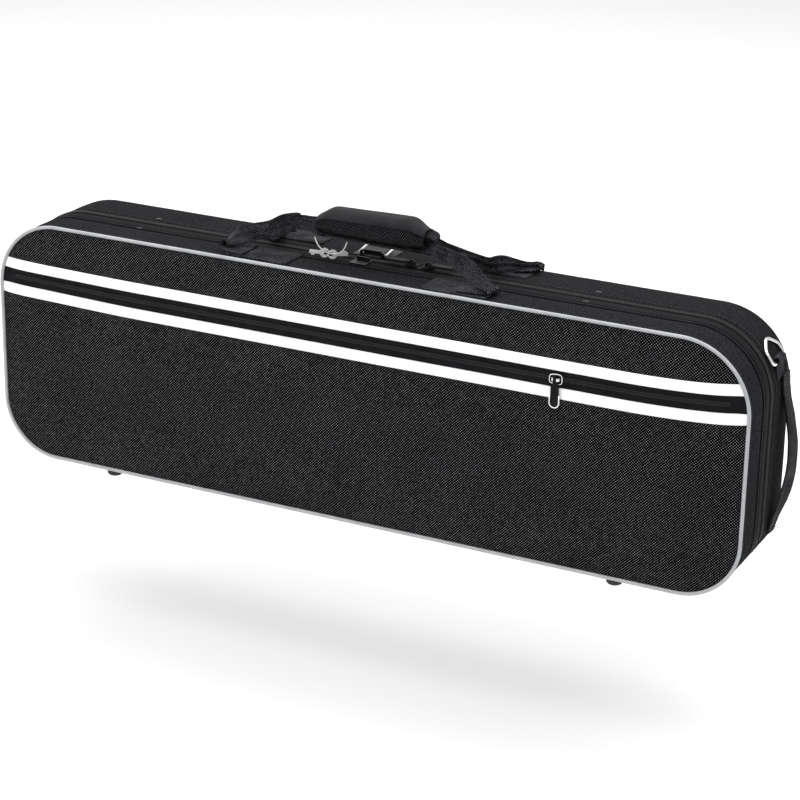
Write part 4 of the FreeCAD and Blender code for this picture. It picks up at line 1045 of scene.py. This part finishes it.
def make_end_loop():
    """Webbing sewn to the right end wall at both ends, standing off it between them."""
    rows = [
        (401.7, 93.0, 198.0, 0, 1, 0, 19.0),
        (402.3, 93.0, 187.0, 0, 1, 0, 19.0),
        (405.0, 92.5, 172.0, 0, 1, 0, 19.0),
        (409.6, 92.0, 154.0, 0.05, 1, 0, 18.5),
        (413.6, 91.0, 130.0, 0.12, 1, 0, 18.0),
        (414.2, 89.0, 104.0, 0.2, 1, 0, 18.0),
        (410.4, 85.5, 78.0, 0.2, 1, 0, 18.0),
        (404.2, 81.5, 56.0, 0.05, 1, 0, 18.5),
        (401.8, 80.0, 44.0, 0, 1, 0, 19.0),
    ]
    web("end_loop_webbing", rows, 2.2, "body", "end_loop", wave=0.4, per_run=9)
    places = []
    for z in (188.5, 191.5, 41.5, 45.0):
        places += stitch_line([(403.3, 82.0, z), (403.3, 103.0, z)], RIGHT)
    sew("end_loop_stitches", places, "body")


def make_ring_tabs():
    """A short doubled webbing that holds each ring's straight side to the corner of the wall."""
    ring_y = 84.0
    wrap = ((12.5, 70.4), (16.0, 70.6), (20.0, 71.2), (23.0, 73.2), (25.0, 76.3), (27.5, 76.6),
            (29.3, 74.0), (28.0, 71.0), (25.0, 69.6))  # in degrees and millimetres round the corner
    for side, tag in ((1, "right"), (-1, "left")):
        centre_x, centre_z = side * (HALF_LENGTH - TOP_RADIUS), HEIGHT - TOP_RADIUS
        rows = []
        for degrees, radius in wrap:
            turn = math.radians(degrees)
            x, z = centre_x + side * radius * math.cos(turn), centre_z + radius * math.sin(turn)
            rows.append((x, ring_y, z, 0, side, 0, 18.0))
        web(f"ring_tab_webbing_{tag}", rows, 1.3, "body", f"ring_tab_{tag}", per_run=5)


# ---------------------------------------------------------------- zipper sliders and pulls


def turned_section(name, outline, thickness, frame_at, material, body, slot, *nodes, bevel=0.35):
    """A flat shape with eased edges: outline in (along, across), set by an origin and three directions."""
    origin, along, across, normal = frame_at
    count = len(outline)
    centre = [sum(values) / count for values in zip(*outline)]
    eased = 0.5 - bevel / thickness
    levels = ((-0.5, bevel), (-eased, 0.0), (eased, 0.0), (0.5, bevel))
    verts, uvs = [], []
    for level, trim in levels:
        for a, b in outline:
            away = Vector((a - centre[0], b - centre[1]))
            shrink = 1 - trim / max(away.length, 1e-6)
            a2, b2 = centre[0] + away.x * shrink, centre[1] + away.y * shrink
            verts.append(tuple(origin + along * a2 + across * b2 + normal * (level * thickness)))
            uvs.append((a2, b2))
    obj = piece(name, verts, tube_faces(len(levels), count), uvs, material, body, slot, *nodes)
    split = obj.modifiers.new("sharp_edges", "EDGE_SPLIT")
    split.split_angle = math.radians(32)


def half_round(middle, radius, limit):
    """A row of points round the far end of a pull, from -limit to limit degrees."""
    turns = [math.radians(lerp(-limit, limit, k / 12)) for k in range(13)]
    return [(middle + radius * math.cos(turn), radius * math.sin(turn)) for turn in turns]


def pull_outline(length, neck, wide):
    shoulder = wide * 0.92
    return half_round(length - wide, wide, 90) + [
        (6.5, shoulder), (4.4, neck), (1.6, neck), (1.6, -neck), (4.4, -neck), (6.5, -shoulder),
    ]


def make_pull(name, origin, along, across, body, slot, cad, rimmed):
    """A dark tapered tab on the slider's bar, its rounded end held in a fine bright wire when rimmed."""
    normal = along.cross(across)
    place = (origin, along, across, normal)
    turned_section(f"{name}_tab", pull_outline(26.6, 2.1, 4.3), 1.5, place, BLACK_METAL, body, slot, cad)
    if rimmed:
        wire = [(15.0, -4.55), (22.3, -4.75), *half_round(22.4, 4.75, 80), (22.3, 4.75), (15.0, 4.55)]
        rows = [(*(origin + along * a + across * b), *normal, 1.7) for a, b in wire]
        strap(f"{name}_wire", rows, 0.95, BRUSHED, body, slot, per_run=2, cells=2)
    verts, faces = [], []
    rounds, sides = 20, 8
    for i in range(rounds):
        turn = 2 * math.pi * i / rounds
        out = along * math.cos(turn) + normal * math.sin(turn)
        for j in range(sides):
            about = 2 * math.pi * j / sides
            point = origin + out * (1.75 + 0.62 * math.cos(about)) + across * (0.62 * math.sin(about) * 2.8)
            verts.append(tuple(point))
        for j in range(sides):
            a, b = i * sides, (i + 1) % rounds * sides
            k = (j + 1) % sides
            faces.append((a + j, a + k, b + k, b + j))
    piece(f"{name}_eye", verts, faces, [(0, 0)] * len(verts), BLACK_METAL, body, slot)


def make_slider(name, origin, along, across, normal, material, body, slot, cad, bright=None):
    """A heart-shaped plate with flanges that hold the coil, and a bridge over it."""
    plate = [(6.4, 2.2), (5.2, 4.4), (1.0, 5.1), (-4.6, 4.2), (-6.4, 2.6),
             (-6.4, -2.6), (-4.6, -4.2), (1.0, -5.1), (5.2, -4.4), (6.4, -2.2)]
    place = (origin + normal * 0.9, along, across, normal)
    turned_section(f"{name}_plate", plate, 1.6, place, material, body, slot, cad, bevel=0.45)
    rows = []
    for k in range(9):
        turn = math.radians(180 * k / 8)
        spot = origin + along * (3.6 * math.cos(turn)) + normal * (1.6 + 3.3 * math.sin(turn) ** 0.7)
        rows.append((*spot, *across, 2.6))
    strap(f"{name}_bridge", rows, 1.1, bright or material, body, slot, per_run=3, cells=3)
    if bright:
        edge = [(*(origin + normal * 1.9 + along * (a * 0.96) + across * (b * 0.96)), *normal, 0.8)
                for a, b in plate + plate[:1]]
        strap(f"{name}_edge", edge, 0.7, bright, body, slot, per_run=3, cells=2)


def make_sliders():
    bar_rise = 3.9  # from a slider's seat to the bar that its pull turns on
    seat = Vector((215.0, -3.2, FACE_ZIP_Z))
    make_slider("pocket_slider_body", seat, RIGHT, UP, -BACK, BLACK_METAL, "pocket_slider", "gunmetal",
                "pocket_slider", BRUSHED)
    make_pull("pocket_pull", seat - BACK * bar_rise, -UP, RIGHT, "pocket_pull", "gunmetal", "pocket_pull",
              True)
    for tag, place, sign in (("left", 36.0, -1), ("right", 54.0, 1)):
        seat = Vector((place, 58.0, 252.1))
        make_slider(f"{tag}_slider_body", seat, RIGHT * -sign, BACK, UP, BLACK_METAL,
                    f"zip_slider_{tag}", "black_zinc", f"zip_slider_{tag}")
        make_pull(f"{tag}_pull", seat + UP * bar_rise, RIGHT * sign, BACK * sign,
                  f"zip_pull_{tag}", "black_zinc", f"zip_pull_{tag}", False)


# ---------------------------------------------------------------- inside


def make_linings():
    """Plush over the rims and down the walls of both halves, and over their floors."""
    lid = [(-1.7, 57.75), (-2.6, 57.9), (-6.0, 57.95), (-10.4, 57.9), (-11.6, 57.4), (-12.6, 56.4),
           (-13.4, 54.5), (-13.6, 40.0), (-13.6, 20.0), (-13.8, 14.2), (-15.0, 12.4), (-18.0, 11.6)]
    sweep("lid_plush_wall", lid[::-1], PLUSH, "lid", "plush", "lid_lining", ripple=0.15)
    body = [(-1.7, 58.25), (-2.6, 58.1), (-6.0, 58.05), (-10.4, 58.1), (-11.6, 58.6), (-12.6, 59.6),
            (-13.4, 61.5), (-13.4, 80.0), (-13.4, 110.0), (-13.8, 114.0), (-15.0, 115.4), (-18.0, 116.0)]
    sweep("body_plush_wall", body, PLUSH, "body", "plush", "body_lining", ripple=0.05)

    def tufted(x, z):
        return 11.8 + 0.5 * jitter(x * 0.03, z * 0.03, 6.0)

    panel("lid_plush_floor", [17.0] + steps(22.0, 228.0, 6.0) + [233.0], tufted, PLUSH, "lid", "plush",
          inset=17.0, flip=True)
    panel("body_plush_floor", [17.0] + steps(22.0, 228.0, 8.0) + [233.0], lambda x, z: 115.9, PLUSH,
          "body", "plush", inset=17.0)


def make_inside():
    """The pads and ribbons inside; what isn't drawn here keeps its CAD shape."""
    soften("violin_bed", "cradle_insert", 4.0, 3, 0.5, "body")
    soften("bed_pads", "suspension_pads", 2.5, 5, 0.5, "body")
    soften("neck_rest_pad", "neck_cradle", 2.2, 4, 0.4, "body")
    soften("accessory_lid_pad", "accessory_lid", 1.2, 3, 0.25, "accessory_lid")
    soften("tip_sleeve_pads", "bow_tip_sleeves", 1.4, 3, 0.2, "lid")
    belt = [(-108.0, 71.0, z, 1, 0, 0, 26.0) for z in (84.0, 104.5, 125.0, 145.5, 166.0)]
    strap("neck_strap_ribbon", belt, 1.1, RIBBON, "body", "satin_ribbon", "neck_strap", wave=0.2)
    tab = [(-138.0, y, z, 1, 0, 0, 14.0) for y, z in ((66.9, 174.2), (66.6, 181.0), (66.9, 187.8))]
    strap("accessory_tab_ribbon", tab, 0.9, RIBBON, "accessory_lid", "satin_ribbon", "accessory_tab")


def make_hardware():
    """The CAD solids that keep their shape, each with its finish and the width of its eased edges."""
    for node, material, bevel in (
        ("shoulder_ring_left", CHROME, 0), ("shoulder_ring_right", CHROME, 0),
        # the lock's plate and catch are nickel painted dark as the shade under the grip
        ("lock_bail", PALE_NICKEL, 0), ("lock_plate", NICKEL_PAINTED_SHADE, 0.4), ("lock_catch", NICKEL_PAINTED_SHADE, 0.3),
        ("body_hinge_leaves", STEEL, 0.2), ("lid_hinge_leaves", STEEL, 0.2), ("hinge_pins", STEEL, 0),
        ("spinner_pivots", STEEL, 0.2), ("body_feet", RUBBER, 0), ("lid_feet", RUBBER, 0),
        ("bow_spinner_upper", PLASTIC, 0.8), ("bow_spinner_lower", PLASTIC, 0.8),
        ("body_shell", FOAM, 0), ("lid_shell", FOAM, 0),
    ):
        polish(node, material, bevel)


make_camera()
make_key_string()
make_studio()
make_lid_walls()
make_body_walls()
make_zipper()
make_bar_tacks()
make_face()
make_piping()
make_grip()
make_front_strap()
make_rear_strap()
make_end_loop()
make_ring_tabs()
make_sliders()
make_linings()
make_inside()
make_hardware()
